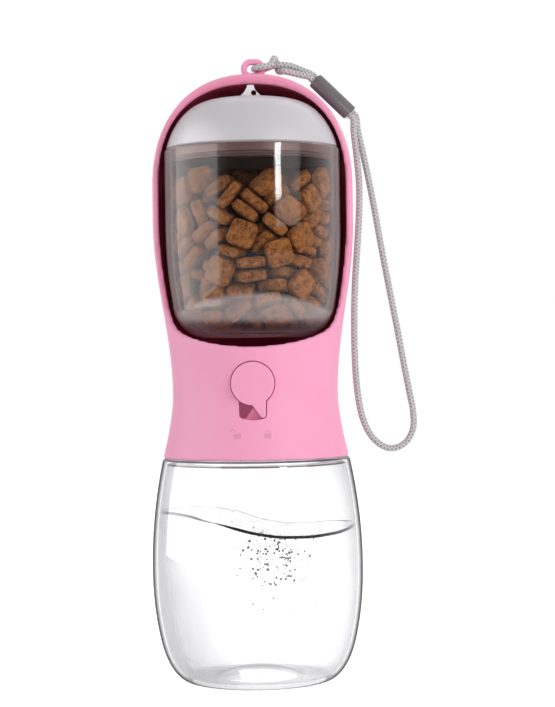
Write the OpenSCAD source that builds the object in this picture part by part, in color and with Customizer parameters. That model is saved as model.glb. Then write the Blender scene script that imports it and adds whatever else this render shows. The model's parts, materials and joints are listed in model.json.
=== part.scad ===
// Two-in-one pet travel bottle: a screw-on water bottle below, a drinking trough above it, and a lidded
// food cup that snaps into the trough. Millimetres. Front is -Y, up is +Z, origin on the table under the axis.

/* [Pink body] */
// Radius of the body at its widest
belly_r = 36.7; // [34:0.1:40]
// Radius of the body at its waist, where the button is
waist_r = 30.2; // [29.8:0.1:32]
// Radius of the body's lower edge, at the seam with the bottle
seam_r = 34.1; // [33.4:0.1:35]
// Height of the seam between body and bottle
seam_z = 81.7; // [76:0.1:90]
// Height of the waist above the seam
waist_rise = 22.7; // [21:0.1:24]
// Height of the lower end of the straight belly, above the waist
belly_rise = 63.8; // [60:0.1:70]
// Height of the straight belly
belly_h = 11.8; // [6:0.1:20]
// Height of the domed top above the belly
dome_h = 41.6; // [39:0.1:46]
// Wall thickness of the body
wall = 2.1; // [1.8:0.1:2.6]
// Thickness of the dome at its crown
crown_t = 3.9; // [3:0.1:5]

/* [Trough] */
// Depth of the opening's rim plane in front of the axis
rim_y = 7.5; // [5:0.1:10]
// Radius of the sweep from the rim plane to the drinking lip
sweep_r = 14; // [12:0.5:15]
// Height of the sweep's upper end above the waist
sweep_rise = 36; // [35:0.1:38]
// Slope of the rim from the sweep down to the drinking lip, in degrees
lip_slope = 21.6; // [16:0.2:24]
// Height of the trough's floor above the waist
floor_rise = 14; // [13:0.1:15]
// Thickness of the trough's floor
floor_t = 2.8; // [2:0.1:3.5]

/* [Food cup and lid] */
// Gap between the cup and the trough's wall
cup_gap = 2.5; // [2:0.1:4]
// How far the cup draws in from its rim to its bottom corner
cup_taper = 2.2; // [1:0.1:4]
// Radius of the cup's bottom corner
cup_corner_r = 13; // [11:0.5:14]
// Height of the cup, bottom to rim
cup_h = 68.8; // [66:0.1:69]
// Wall thickness of the cup
cup_wall = 2; // [1.6:0.1:2.2]
// Gap between the cup's bottom and the ribs that it rests on
rest_gap = 0.3; // [0.2:0.05:0.6]
// Height of the ribs that the cup rests on
rib_h = 6.5; // [5:0.1:8]
// Gap between the lid's crown and the arch above it
lid_clear = 4.8; // [4.2:0.1:6]
// Wall thickness of the lid
lid_t = 2; // [1.6:0.1:2.4]
// Gap between the lid and the cup's rim
lid_gap = 0.3; // [0.2:0.05:0.5]
// Depth of the lid's plug inside the cup
plug_h = 4.5; // [4.2:0.1:6]

/* [Latch] */
// Half width of the latch tongue at its root
latch_root = 3.85; // [3:0.05:4]
// Half width of the latch tongue at its tip
latch_tip = 1.2; // [0.8:0.05:2]
// Thickness of the latch tongue
latch_t = 1.6; // [1.2:0.1:2]
// Gap between the latch tip and the arch above it
latch_gap = 0.4; // [0.3:0.05:1]
// Radius of the latch's pin
latch_pin_r = 0.8; // [0.6:0.05:0.9]

/* [Button] */
// Radius of the round button
knob_r = 7.7; // [7.5:0.1:8.6]
// Reach of the button's tail from its centre
tail_reach = 12.7; // [12:0.1:13.4]
// Height of the button's centre above the waist
knob_rise = 4.5; // [4:0.1:4.8]
// Thickness of the button
knob_t = 3.6; // [3.2:0.1:4]
// How far the button's face stands in front of the body
knob_proud = 1; // [0.6:0.1:1.2]
// Travel of the button when it is pressed
press = 3.5; // [3:0.1:3.6]
// Half of the button's turn between locked and unlocked
half_turn = 17.5; // [15:0.5:19]
// Gap around the button in its recess
knob_gap = 0.3; // [0.2:0.05:0.5]

/* [Valve] */
// Radius of the valve's plunger
spool_r = 4.9; // [4.5:0.05:5.2]
// Radius of the plunger's front stem
stem_r = 3.5; // [3.2:0.05:3.6]
// Radial clearance of the plunger in its bores
run_fit = 0.05; // [0.02:0.01:0.09]
// Radius of the water ports
port_r = 1.25; // [1:0.05:1.4]
// Radius of the wire of the return spring
wire_r = 0.3; // [0.25:0.05:0.4]
// Number of turns of the return spring
spring_turns = 5; // [4:1:7]

/* [Water bottle] */
// Largest radius of the bottle
bottle_r = 38.5; // [36.5:0.1:40]
// Height of the bottle's widest place
bottle_wide_z = 42; // [38:0.5:46]
// Wall thickness of the bottle
bottle_wall = 1.8; // [1.4:0.1:2.2]
// Gap between the bottle's shoulder and the body
seam_gap = 0.3; // [0.2:0.05:0.5]
// Radius of the bottle's neck
neck_r = 25.6; // [25:0.1:25.8]
// Height of the bottle's neck above its shoulder
neck_h = 10.6; // [10:0.1:10.8]
// Pitch of the bottle's thread
pitch = 4; // [3.8:0.1:4.2]
// Height of the thread's ridge
ridge = 1.2; // [1:0.05:1.3]
// Turns of the thread
thread_turns = 1.25; // [1:0.05:1.3]
// Thickness of the seal on the neck
gasket_t = 1.5; // [1.2:0.1:1.6]

/* [Lanyard] */
// Radius of the lanyard's cord
cord_r = 1.2; // [1:0.05:1.25]
// Length of the slider on the cord
slider_l = 17.8; // [16:0.1:18]
// Radius of the slider's round edges
slider_r = 2.3; // [2.2:0.05:2.5]
// Half of the spacing of the slider's two bores
slider_half = 1.3; // [1.25:0.05:1.35]
// Half width of the hole in the eyelet
eye_half_w = 2.4; // [2.3:0.05:2.5]
// Half height of the hole in the eyelet
eye_half_h = 1.5; // [1.4:0.05:1.6]
// Width of the eyelet's band
eye_band = 2.1; // [1.8:0.05:2.3]
// Thickness of the eyelet, front to back
eye_t = 3; // [2.6:0.1:3.2]

/* [Hidden] */
$fn = 96;

// Small numbers that only keep cuts clean
eps = 0.01;
past = 1;
big = 200;

// Colours
PINK = "#f7b4cc";
CLEAR = "#dfe3e4";
LID = "#cecbcf";
WHITE = "#e8e8ea";
GREY = "#736b6e";
CORD = "#b9b7bb";
SILICONE = "#d9d9dc";
STEEL = "#b0b3b8";

// Heights
waist_z = seam_z + waist_rise;
belly_z = waist_z + belly_rise;
dome_z = belly_z + belly_h;
top_z = dome_z + dome_h;
floor_z = waist_z + floor_rise;
sweep_z = waist_z + sweep_rise;
knob_z = waist_z + knob_rise;

// Outline of the pink body: a flare to the seam, a cosine from waist to belly, and a domed top
flare_power = 1.6;
dome_power = 2.25;
cavity_power = 2.4;
function flare(z) = waist_r + (seam_r - waist_r) * pow((waist_z - z) / waist_rise, flare_power);
function swell(z) = waist_r + (belly_r - waist_r) * (1 - cos(180 * (z - waist_z) / belly_rise)) / 2;
function dome(z, r, h, power) = r * pow(1 - pow((z - dome_z) / h, power), 1 / power);
function body_r(z) =
    z < waist_z ? flare(z) :
    z < belly_z ? swell(z) :
    z < dome_z ? belly_r : dome(z, belly_r, dome_h, dome_power);
function cavity_r(z) =
    z < dome_z ? body_r(z) - wall : dome(z, belly_r - wall, dome_h - crown_t, cavity_power);
// Steps that close up towards the crown, where the outline turns fast
dome_steps = [for (a = [0:6:84]) sin(a)];
function low_steps(z0, n) = [for (i = [0:n]) z0 + (belly_z - z0) * i / n];

// Neck inside the body
bore_r = waist_r - 2.6;
block_top_z = floor_z - floor_t;
neck_top_z = seam_z - seam_gap + neck_h;
block_z = neck_top_z + gasket_t;
skirt_w = 5;
collar_r = seam_r - skirt_w;
collar_gap = 0.1;
collar_bore_r = neck_r + ridge + 0.35;
block_gap = 0.1;
chord_y = 22.2;

// Button, from its face to the plunger
knob_face_y = -(body_r(knob_z) + knob_proud);
knob_back_y = knob_face_y + knob_t;
under_gap = 0.3;
well_y = knob_back_y + press + under_gap;
shallow_y = knob_back_y + under_gap;
tail_tip_r = 1.15;
tail_tip_at = tail_reach - tail_tip_r;
tail_root_w = 2.75;
tail_root_at = 7;
gland_r = 6;
hub_depth = 2.2;
clip_groove_r = 2.7;
clip_r = 4.1;
clip_t = 0.8;
clip_y = knob_back_y - 1.4;
spool_front_y = -chord_y + 0.3;
spool_end_y = 10.5;
outlet_y = 1;
inlet_y = 7;
land_y = -3.7;
land_end_y = 4;
waist_groove_r = 3.4;
o_ring_r = 0.9;
front_ring_y = -6;
valve_ring_y = 5.4;
spring_hole_r = 3.4;
spring_seat_y = 6.4;
bore_end_y = 16;
spring_r = 2.7;
screw_ring_r = 20.6;
screw_boss_r = 3.1;
screw_boss_h = 8.6;
screw_r = 1.2;
screw_head_r = 2.3;
screw_head_h = 1.6;
screw_l = 9.5;
screw_shelf = 2.2;
boss_gap = 0.1;
seal_r = 4.2;
seal_in_r = 2.4;
seal_t = 1.1;

// Cup and lid
cup_r = belly_r - wall - cup_gap;
cup_low_r = cup_r - cup_taper;
rest_z = floor_z + rib_h;
cup_z = rest_z + rest_gap;
cup_top_z = cup_z + cup_h;
corner_z = cup_z + cup_corner_r;
cup_straight_rise = 39.8;
cup_straight_z = cup_z + cup_straight_rise;
function cup_out(z) =
    z > cup_straight_z ? cup_r :
    cup_r - (cup_r - cup_low_r) * pow((cup_straight_z - z) / (cup_straight_z - corner_z), 2);
cup_floor_r = cup_low_r - cup_corner_r;
lid_r = cup_r - 0.6;
lid_z = cup_top_z + lid_gap;
lid_top_z = dome_z + dome_h - crown_t - lid_clear;
lid_h = lid_top_z - lid_z;
// The lid is flat on top and turns fast at its shoulder
lid_power = 4;
lid_rise_power = 1.3;
function lid_out(t, r) = r * pow(1 - pow(t, lid_rise_power), 1 / lid_power);
lid_steps = [0, 0.1, 0.22, 0.36, 0.5, 0.62, 0.73, 0.82, 0.89, 0.94, 0.975, 0.993];
plug_r = cup_r - cup_wall - 0.5;
plug_t = 2;
lug_r = cup_r - cup_wall + 0.7;
lug_groove_r = lug_r + 0.3;
lug_h = 1;
lug_z = cup_top_z - 2.4;
lug_span = 18;
lug_play = 3;
lid_turn = 30;
seal_ring_r = 0.7;
seal_groove_d = 1.05;

// Latch
latch_y = -rim_y;
latch_tip_z = cavity_top(rim_y) - latch_gap;
latch_pin_z = lid_top_z - 2.2;
latch_hub_r = 1.7;
latch_pocket_w = latch_root + 0.35;
latch_pocket_l = 2.3;
latch_pocket_d = latch_hub_r + 0.4;
latch_boss = 1.5;
latch_hole_r = 1;
latch_hole_x = 1.2;
function cavity_top(r) = dome_z + (dome_h - crown_t) *
    pow(1 - pow(r / (belly_r - wall), cavity_power), 1 / cavity_power);

// Eyelet
eye_x = 0.9;
eye_rise = 2.1;
eye_z = top_z + eye_rise;
eye_foot = 5;

// Slider, lying on the right shoulder
slider_x = 29.8;
slider_y = 0;
slider_z = 213.1;
slider_tilt = 134.5;
slider_roll = 35;
socket_l = 2.5;
socket_gap = 0.05;

// Route of the hitch: out of the slider, through the eyelet, once round itself and back
hitch_points = [[25.76, 1.07, 218.12], [23.97, 1.07, 219.87], [22.26, 1.07, 221.55], [18.9, 1, 223],
    [15, 0.7, 224.6], [11.2, 0.4, 225.1], [8.7, 0.6, 225], [6.8, 1.6, 224.6], [4.7, 3.1, 224.1],
    [2.5, 2.5, 223.8], [1.2, 0, 223.7], [2.2, -2.5, 223.8], [4.6, -3.1, 224.1], [6.7, -2.7, 224.5],
    [7.8, -2.1, 225.5], [8.4, -0.9, 227], [8.8, 0.6, 227.5], [9.2, 2.3, 226.6], [9.6, 2.9, 225.1],
    [10, 2.2, 223.4], [10.7, 0.5, 222.7], [12.4, -0.9, 222.6], [15.3, -1.2, 221.9], [18.9, -1.1, 221],
    [21.22, -1.07, 220.49], [22.93, -1.07, 218.81], [24.71, -1.07, 217.05]];
// Route of the wrist loop: down from the slider, round and back up
loop_points = [[34.89, 1.07, 209.15], [36.67, 1.07, 207.39], [38.38, 1.07, 205.7], [38.9, 1.2, 201],
    [40.6, 1.5, 193], [42.6, 1.9, 183], [44.6, 2.2, 172], [46.6, 2.5, 160], [48.7, 2.6, 148],
    [50.7, 2.6, 137], [52.7, 2.5, 126], [54.6, 2.3, 115], [56.4, 2, 105], [57.7, 1.7, 97.5], [57.6, 1.3, 91],
    [54.6, 0.8, 85.9], [49.5, 0.4, 84], [44.8, 0, 86], [41.1, -0.4, 90.5], [38.6, -0.8, 97.5],
    [37.2, -1, 107], [36.6, -1.1, 119], [36.6, -1.1, 132], [37.1, -1.1, 145], [38.1, -1.1, 158],
    [38.9, -1.1, 170], [39.1, -1.1, 181], [38.3, -1.1, 191.5], [37.4, -1.1, 200], [37.34, -1.07, 204.65],
    [35.63, -1.07, 206.33], [33.84, -1.07, 208.08]];

// --- helpers ---------------------------------------------------------------------------------------------

module along_y(y0, y1, r) {
    translate([0, y0, 0])
        rotate([-90, 0, 0])
            cylinder(r = r, h = y1 - y0);
}

// A ring of round section about the Y axis
module y_ring(y, r, section_r) {
    translate([0, y, 0])
        rotate([-90, 0, 0])
            rotate_extrude()
                translate([r, 0])
                    circle(r = section_r, $fn = 24);
}

// A tube swept along points by carrying a frame from one ring to the next
function unit(v) = v / norm(v);
function heading(p, i) =
    i == 0 ? unit(p[1] - p[0]) :
    i == len(p) - 1 ? unit(p[i] - p[i - 1]) : unit(unit(p[i + 1] - p[i]) + unit(p[i] - p[i - 1]));
function carry(p, u, i = 0) =
    let (t = heading(p, i), v = unit(u - (u * t) * t))
    i == len(p) - 1 ? [v] : concat([v], carry(p, v, i + 1));
module swept(p, r, sides, up = [0, 1, 0]) {
    frames = carry(p, up);
    n = len(p);
    rings = [for (i = [0:n - 1]) for (k = [0:sides - 1])
        p[i] + r * (cos(360 * k / sides) * frames[i] + sin(360 * k / sides) * cross(heading(p, i), frames[i]))];
    skin = [for (i = [0:n - 2]) for (k = [0:sides - 1])
        let (a = i * sides + k, b = i * sides + (k + 1) % sides)
        each [[a, a + sides, b], [b, a + sides, b + sides]]];
    near_end = [[for (k = [0:sides - 1]) k]];
    far_end = [[for (k = [sides - 1:-1:0]) (n - 1) * sides + k]];
    polyhedron(points = rings, faces = concat(skin, near_end, far_end), convexity = 8);
}

// A helical ridge: a trapezoid carried round, its foot sunk into the wall it stands on
module helix_ridge(foot_r, tip_r, z0, turns, start) {
    per_turn = 24;
    n = round(per_turn * turns);
    foot_w = 0.9;
    tip_w = 0.45;
    function at(i) = start + 360 * i / per_turn;
    function lift(i) = z0 + pitch * i / per_turn;
    points = [for (i = [0:n]) each [
        [foot_r * cos(at(i)), foot_r * sin(at(i)), lift(i) - foot_w],
        [tip_r * cos(at(i)), tip_r * sin(at(i)), lift(i) - tip_w],
        [tip_r * cos(at(i)), tip_r * sin(at(i)), lift(i) + tip_w],
        [foot_r * cos(at(i)), foot_r * sin(at(i)), lift(i) + foot_w]]];
    side = tip_r > foot_r ? [0, 1] : [1, 0];
    skin = [for (i = [0:n - 1]) for (k = [0:3])
        let (a = 4 * i + (k + side[0]) % 4, b = 4 * i + (k + side[1]) % 4)
        each [[a, b, a + 4], [b, b + 4, a + 4]]];
    first = side[0] == 0 ? [[3, 2, 1, 0]] : [[0, 1, 2, 3]];
    last = [[for (k = first[0]) 4 * n + 3 - k]];
    polyhedron(points = points, faces = concat(skin, first, last), convexity = 6);
}

// --- pink body ------------------------------------------------------------------------------------------

module body_envelope() {
    low = [for (i = [0:8]) seam_z + waist_rise * i / 8];
    mid = [for (i = [1:12]) waist_z + belly_rise * i / 12];
    high = [for (s = dome_steps) dome_z + dome_h * s];
    rotate_extrude()
        polygon(concat([[0, seam_z]],
            [for (z = concat(low, mid, high)) [body_r(z), z]],
            [[belly_r * 0.12, top_z - 0.05], [0, top_z]]));
}

module trough_cavity() {
    mid = [for (i = [0:10]) floor_z + (belly_z - floor_z) * i / 10];
    high = [for (s = dome_steps) dome_z + (dome_h - crown_t) * s];
    rotate_extrude()
        polygon(concat([[0, floor_z]],
            [for (z = concat(mid, high)) [cavity_r(z), z]],
            [[0, dome_z + dome_h - crown_t]]));
}

// Everything in front of the rim plane, down the sweep and out over the lip
module front_opening() {
    front_y = -belly_r - past;
    turn = 90 - lip_slope;
    end_y = -rim_y - sweep_r * (1 - cos(turn));
    end_z = sweep_z - sweep_r * sin(turn);
    outline = concat(
        [[-rim_y, top_z + past]],
        [for (i = [0:8]) [-rim_y - sweep_r * (1 - cos(turn * i / 8)), sweep_z - sweep_r * sin(turn * i / 8)]],
        [[front_y, end_z + (front_y - end_y) * tan(lip_slope)], [front_y, top_z + past]]);
    translate([-belly_r - past, 0, 0])
        rotate([90, 0, 90])
            linear_extrude(2 * (belly_r + past))
                polygon(outline);
}

module eyelet() {
    half_w = eye_half_w + eye_band;
    half_h = eye_half_h + eye_band;
    straight = half_w - half_h;
    translate([eye_x, eye_t / 2, eye_z])
        rotate([90, 0, 0])
            linear_extrude(eye_t)
                difference() {
                    union() {
                        for (side = [-1, 1])
                            translate([side * straight, 0])
                                circle(r = half_h);
                        square([2 * straight, 2 * half_h], center = true);
                        translate([-half_w, -eye_foot])
                            square([2 * half_w, eye_foot]);
                    }
                    for (side = [-1, 1])
                        translate([side * (eye_half_w - eye_half_h), 0])
                            circle(r = eye_half_h);
                    square([2 * (eye_half_w - eye_half_h), 2 * eye_half_h], center = true);
                }
}

// Button outline, tail pointing down and turned by an angle, grown by a gap
module knob_outline(angle, gap) {
    rotate(angle) {
        circle(r = knob_r + gap);
        translate([0, -tail_tip_at])
            circle(r = tail_tip_r + gap);
        polygon([[-tail_root_w - gap, -tail_root_at], [-tail_tip_r - gap, -tail_tip_at],
            [tail_tip_r + gap, -tail_tip_at], [tail_root_w + gap, -tail_root_at]]);
    }
}

// Stands an XZ outline up so that it runs from y0 to y1 at the button's height
module stand_up(y0, y1) {
    translate([0, y1, knob_z])
        rotate([90, 0, 0])
            linear_extrude(y1 - y0)
                children();
}

module knob_recess() {
    front = -belly_r;
    stand_up(front, well_y) {
        knob_outline(half_turn, knob_gap);
        knob_outline(-half_turn, knob_gap);
    }
    stand_up(front, shallow_y)
        intersection() {
            circle(r = tail_reach + knob_gap);
            polygon([[0, 0], [-(tail_reach + past) * tan(half_turn), -tail_reach - past],
                [(tail_reach + past) * tan(half_turn), -tail_reach - past]]);
        }
}

// The round hollow for the valve block, flat behind the button
module block_space(gap) {
    intersection() {
        translate([0, 0, block_z - (gap > 0 ? 0 : eps)])
            cylinder(r = bore_r - gap, h = block_top_z - block_z - gap + (gap > 0 ? 0 : eps));
        translate([-big / 2, -chord_y + gap, 0])
            cube([big, big, big]);
    }
}

module at_screws() {
    for (a = [0, 90, 180])
        rotate(a)
            translate([screw_ring_r, 0, 0])
                children();
}

module cup_rests() {
    rib_t = 1.6;
    rib_l = 14;
    rib_x = 14;
    rib_y = 2;
    for (x = [-rib_x, rib_x - rib_t])
        translate([x, rib_y, floor_z - eps])
            cube([rib_t, rib_l, rest_z - floor_z + eps]);
}

module body_shell() {
    color(PINK)
        difference() {
            union() {
                difference() {
                    body_envelope();
                    trough_cavity();
                    front_opening();
                    block_space(0);
                    translate([0, 0, seam_z - past])
                        cylinder(r = collar_r, h = block_z - seam_z + past);
                }
                difference() {
                    eyelet();
                    translate([-big / 2, -big / 2, top_z - crown_t - big + 0.4])
                        cube([big, big, big]);
                }
                cup_rests();
                intersection() {
                    at_screws()
                        translate([0, 0, block_top_z - screw_boss_h])
                            cylinder(r = screw_boss_r, h = screw_boss_h + eps, $fn = 48);
                    cylinder(r = bore_r + eps, h = big);
                }
            }
            knob_recess();
            translate([0, 0, knob_z])
                along_y(well_y - past, -chord_y + past, gland_r);
            translate([0, outlet_y, block_top_z - past])
                cylinder(r = seal_in_r, h = floor_t + 2 * past, $fn = 48);
            at_screws()
                translate([0, 0, block_top_z - screw_boss_h - past])
                    cylinder(r = screw_r, h = screw_boss_h + past - 1, $fn = 32);
        }
}

// --- valve ------------------------------------------------------------------------------------------------

module valve_block() {
    pocket_z = block_top_z - screw_boss_h - boss_gap;
    color(WHITE)
        difference() {
            block_space(block_gap);
            translate([0, 0, knob_z]) {
                along_y(-chord_y - past, spool_end_y + press + under_gap, spool_r + run_fit);
                along_y(-chord_y, bore_end_y, spring_hole_r);
            }
            translate([0, outlet_y, knob_z])
                cylinder(r = port_r, h = big, $fn = 32);
            translate([0, inlet_y, block_z - past])
                cylinder(r = port_r, h = knob_z - block_z + past, $fn = 32);
            translate([0, outlet_y, block_top_z - seal_t])
                cylinder(r = seal_r + 0.05, h = seal_t + past, $fn = 48);
            at_screws() {
                translate([0, 0, pocket_z])
                    cylinder(r = screw_boss_r + boss_gap, h = big, $fn = 48);
                translate([0, 0, block_z - past])
                    cylinder(r = screw_r + 0.15, h = big, $fn = 32);
                translate([0, 0, block_z - past])
                    cylinder(r = screw_head_r + 0.3, h = pocket_z - screw_shelf - block_z + past, $fn = 32);
            }
        }
}

module valve_screws() {
    head_top_z = block_top_z - screw_boss_h - boss_gap - screw_shelf;
    color(STEEL)
        at_screws()
            difference() {
                union() {
                    translate([0, 0, head_top_z - screw_head_h])
                        cylinder(r = screw_head_r, h = screw_head_h, $fn = 32);
                    translate([0, 0, head_top_z - eps])
                        cylinder(r = screw_r, h = screw_l, $fn = 32);
                }
                for (turn = [0, 90])
                    rotate(turn)
                        translate([-1.3, -0.35, head_top_z - screw_head_h - past])
                            cube([2.6, 0.7, past + 0.8]);
            }
}

module outlet_seal() {
    color(SILICONE)
        translate([0, outlet_y, block_top_z - seal_t])
            difference() {
                cylinder(r = seal_r, h = seal_t, $fn = 48);
                translate([0, 0, -past])
                    cylinder(r = seal_in_r, h = seal_t + 2 * past, $fn = 48);
            }
}

module gland_ring() {
    color(WHITE)
        translate([0, 0, knob_z])
            difference() {
                along_y(well_y + 0.1, -chord_y, gland_r);
                along_y(well_y - past, -chord_y + past, stem_r + run_fit);
            }
}

module plunger() {
    stem_tip_y = knob_back_y - hub_depth + 0.3;
    color(WHITE)
        translate([0, 0, knob_z])
            difference() {
                union() {
                    along_y(stem_tip_y, spool_front_y + eps, stem_r);
                    along_y(spool_front_y, spool_end_y, spool_r);
                }
                difference() {
                    along_y(clip_y - clip_t / 2, clip_y + clip_t / 2, stem_r + past);
                    along_y(clip_y - clip_t, clip_y + clip_t, clip_groove_r);
                }
                difference() {
                    along_y(land_y, land_end_y, spool_r + past);
                    along_y(land_y - past, land_end_y + past, waist_groove_r);
                }
                for (y = [front_ring_y, valve_ring_y])
                    difference() {
                        along_y(y - o_ring_r, y + o_ring_r, spool_r + past);
                        along_y(y - 2 * o_ring_r, y + 2 * o_ring_r, spool_r - 2 * o_ring_r);
                    }
                along_y(spring_seat_y, spool_end_y + past, spring_hole_r - 0.1);
            }
}

module spool_ring(y) {
    section = o_ring_r - 0.02;
    color(SILICONE)
        translate([0, 0, knob_z])
            y_ring(y, spool_r + run_fit - section - 0.01, section);
}

module front_o_ring() {
    spool_ring(front_ring_y);
}

module valve_o_ring() {
    spool_ring(valve_ring_y);
}

module return_spring() {
    per_turn = 12;
    y0 = spring_seat_y + wire_r + 0.1;
    y1 = bore_end_y - wire_r - 0.1;
    n = per_turn * spring_turns;
    color(STEEL)
        translate([0, 0, knob_z])
            swept([for (i = [0:n]) [spring_r * cos(360 * i / per_turn), y0 + (y1 - y0) * i / n,
                spring_r * sin(360 * i / per_turn)]], wire_r, 6);
}

module lock_knob() {
    color(PINK)
        difference() {
            stand_up(knob_face_y, knob_back_y)
                knob_outline(half_turn, 0);
            translate([0, 0, knob_z]) {
                along_y(knob_back_y - hub_depth, knob_back_y + past, stem_r + run_fit);
                along_y(clip_y - clip_t / 2 - 0.1, clip_y + clip_t / 2 + 0.1, clip_r + 0.2);
            }
        }
}

// Snap ring that holds the button on the stem
module knob_clip() {
    opening = 2.4;
    color(STEEL)
        translate([0, 0, knob_z])
            difference() {
                along_y(clip_y - clip_t / 2 + 0.05, clip_y + clip_t / 2 - 0.05, clip_r);
                along_y(clip_y - clip_t, clip_y + clip_t, clip_groove_r + 0.05);
                translate([-opening / 2, clip_y - clip_t, 0])
                    cube([opening, 2 * clip_t, clip_r + past]);
            }
}

// --- bottle -----------------------------------------------------------------------------------------------

shoulder_z = seam_z - seam_gap;
thread_rise = 2.9;
foot_r = 24.5;
foot_flat = 8;
bottle_low_r = bottle_r - 2.8;
punt_r = 14.5;
punt_h = 3.4;

// Side of the bottle: widest at bottle_wide_z, drawn in to the seam above and to the foot below
low_side_z = 15;
side_power = 2.2;
function bottle_out(z) =
    z > bottle_wide_z ?
        bottle_r - (bottle_r - seam_r) * pow((z - bottle_wide_z) / (shoulder_z - bottle_wide_z), 2) :
        bottle_r - (bottle_r - bottle_low_r) * pow((bottle_wide_z - z) / (bottle_wide_z - low_side_z), side_power);

// The foot's curve is part of an ellipse that ends where it has the side's own slope
foot_steps = 6;
side_slope = side_power * (bottle_r - bottle_low_r) / (bottle_wide_z - low_side_z);
foot_slope = min(side_slope * low_side_z / (bottle_low_r - foot_r), 0.45);
foot_end = acos(foot_slope / (1 - foot_slope));
function foot_arc(shrink) = [for (i = [0:foot_steps - 1]) let (a = foot_end * i / foot_steps)
    [foot_r + (bottle_low_r - foot_r - shrink) * sin(a) / sin(foot_end),
        shrink + (low_side_z - shrink) * (1 - cos(a)) / (1 - cos(foot_end))]];

module bottle_solid(shrink, neck_top) {
    side = [for (i = [0:12]) low_side_z + (shoulder_z - 1 - low_side_z) * i / 12];
    neck = neck_r - shrink;
    rotate_extrude()
        polygon(concat(
            [[0, punt_h + shrink], [punt_r * 0.6, punt_h * 0.85 + shrink], [punt_r, punt_h * 0.5 + shrink],
                [foot_r - foot_flat, shrink]],
            foot_arc(shrink),
            [for (z = side) [bottle_out(z) - shrink, z]],
            [[seam_r - 0.7 - shrink, shoulder_z - shrink], [neck, shoulder_z - shrink], [neck, neck_top],
                [0, neck_top]]));
}

module water_bottle() {
    color(CLEAR)
        union() {
            difference() {
                bottle_solid(0, neck_top_z);
                bottle_solid(bottle_wall, neck_top_z + past);
            }
            helix_ridge(neck_r - 0.4, neck_r + ridge, shoulder_z + thread_rise, thread_turns, 0);
        }
}

module thread_collar() {
    crest_r = neck_r + 0.35;
    color(WHITE)
        union() {
            difference() {
                translate([0, 0, shoulder_z + 0.6])
                    cylinder(r = collar_r - collar_gap, h = block_z - shoulder_z - 0.7);
                cylinder(r = collar_bore_r, h = big);
            }
            helix_ridge(collar_bore_r + 0.4, crest_r, shoulder_z + thread_rise + pitch / 2, thread_turns, 0);
        }
}

module bottle_gasket() {
    color(SILICONE)
        translate([0, 0, neck_top_z])
            difference() {
                cylinder(r = neck_r, h = gasket_t);
                translate([0, 0, -past])
                    cylinder(r = neck_r - bottle_wall - 0.6, h = gasket_t + 2 * past);
            }
}

// --- food cup ---------------------------------------------------------------------------------------------

module cup_solid(shrink, top) {
    corner = [for (a = [0:15:75])
        [cup_floor_r + (cup_corner_r - shrink) * sin(a), corner_z - (cup_corner_r - shrink) * cos(a)]];
    side = [for (i = [0:5]) corner_z + (cup_straight_z - corner_z) * i / 5];
    rotate_extrude()
        polygon(concat([[0, cup_z + shrink]], corner,
            [for (z = side) [cup_out(z) - shrink, z]], [[cup_r - shrink, top], [0, top]]));
}

// A length of ring, as long as an angle
module arc_band(r0, r1, z0, h, span) {
    translate([0, 0, z0])
        rotate_extrude(angle = span)
            translate([r0, 0])
                square([r1 - r0, h]);
}

module at_lugs() {
    for (a = [30, 150, 270])
        rotate(a)
            children();
}

module food_cup() {
    color(CLEAR)
        difference() {
            cup_solid(0, cup_top_z);
            cup_solid(cup_wall, cup_top_z + past);
            at_lugs() {
                rotate(-lug_play)
                    arc_band(plug_r, lug_groove_r, lug_z - 0.3, lug_h + 0.6, lug_span + lid_turn + 2 * lug_play);
                rotate(lid_turn - lug_play + 1)
                    arc_band(plug_r, lug_groove_r, lug_z, cup_top_z - lug_z + past, lug_span + 2 * lug_play - 2);
            }
        }
}

module lid_shape(r, h, z) {
    rotate_extrude()
        polygon(concat([[0, z]],
            [for (t = lid_steps) [lid_out(t, r), z + h * t]],
            [[0, z + h]]));
}

module cup_lid() {
    boss_w = latch_pocket_w + latch_boss;
    boss_l = latch_pocket_l + latch_boss;
    pocket_z = latch_pin_z - latch_pocket_d;
    groove_z = cup_top_z - plug_h + 1;
    color(LID)
        difference() {
            union() {
                difference() {
                    lid_shape(lid_r, lid_h, lid_z);
                    translate([0, 0, -eps])
                        lid_shape(lid_r - lid_t, lid_h - lid_t, lid_z);
                }
                translate([0, 0, cup_top_z - plug_h])
                    difference() {
                        cylinder(r = plug_r, h = plug_h + lid_gap + 1);
                        translate([0, 0, -past])
                            cylinder(r = plug_r - plug_t, h = plug_h + lid_gap + 1 + 2 * past);
                    }
                intersection() {
                    translate([-boss_w, latch_y - boss_l, pocket_z - latch_boss])
                        cube([2 * boss_w, 2 * boss_l, big]);
                    lid_shape(lid_r - 0.5, lid_h - 0.5, lid_z);
                }
                at_lugs()
                    arc_band(plug_r - 1, lug_r, lug_z, lug_h, lug_span);
            }
            translate([-latch_pocket_w, latch_y - latch_pocket_l, pocket_z])
                cube([2 * latch_pocket_w, 2 * latch_pocket_l, big]);
            translate([-boss_w + 0.6, latch_y, latch_pin_z])
                rotate([0, 90, 0])
                    cylinder(r = latch_pin_r, h = 2 * boss_w - 1.2, $fn = 32);
            translate([0, 0, groove_z])
                rotate_extrude()
                    translate([plug_r - seal_groove_d, -seal_ring_r - 0.05])
                        square([2 * seal_groove_d, 2 * seal_ring_r + 0.1]);
        }
}

module lid_seal() {
    groove_z = cup_top_z - plug_h + 1;
    cup_bore_r = cup_r - cup_wall;
    color(SILICONE)
        translate([0, 0, groove_z])
            rotate_extrude()
                translate([cup_bore_r - run_fit - seal_ring_r, 0])
                    circle(r = seal_ring_r, $fn = 24);
}

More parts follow.
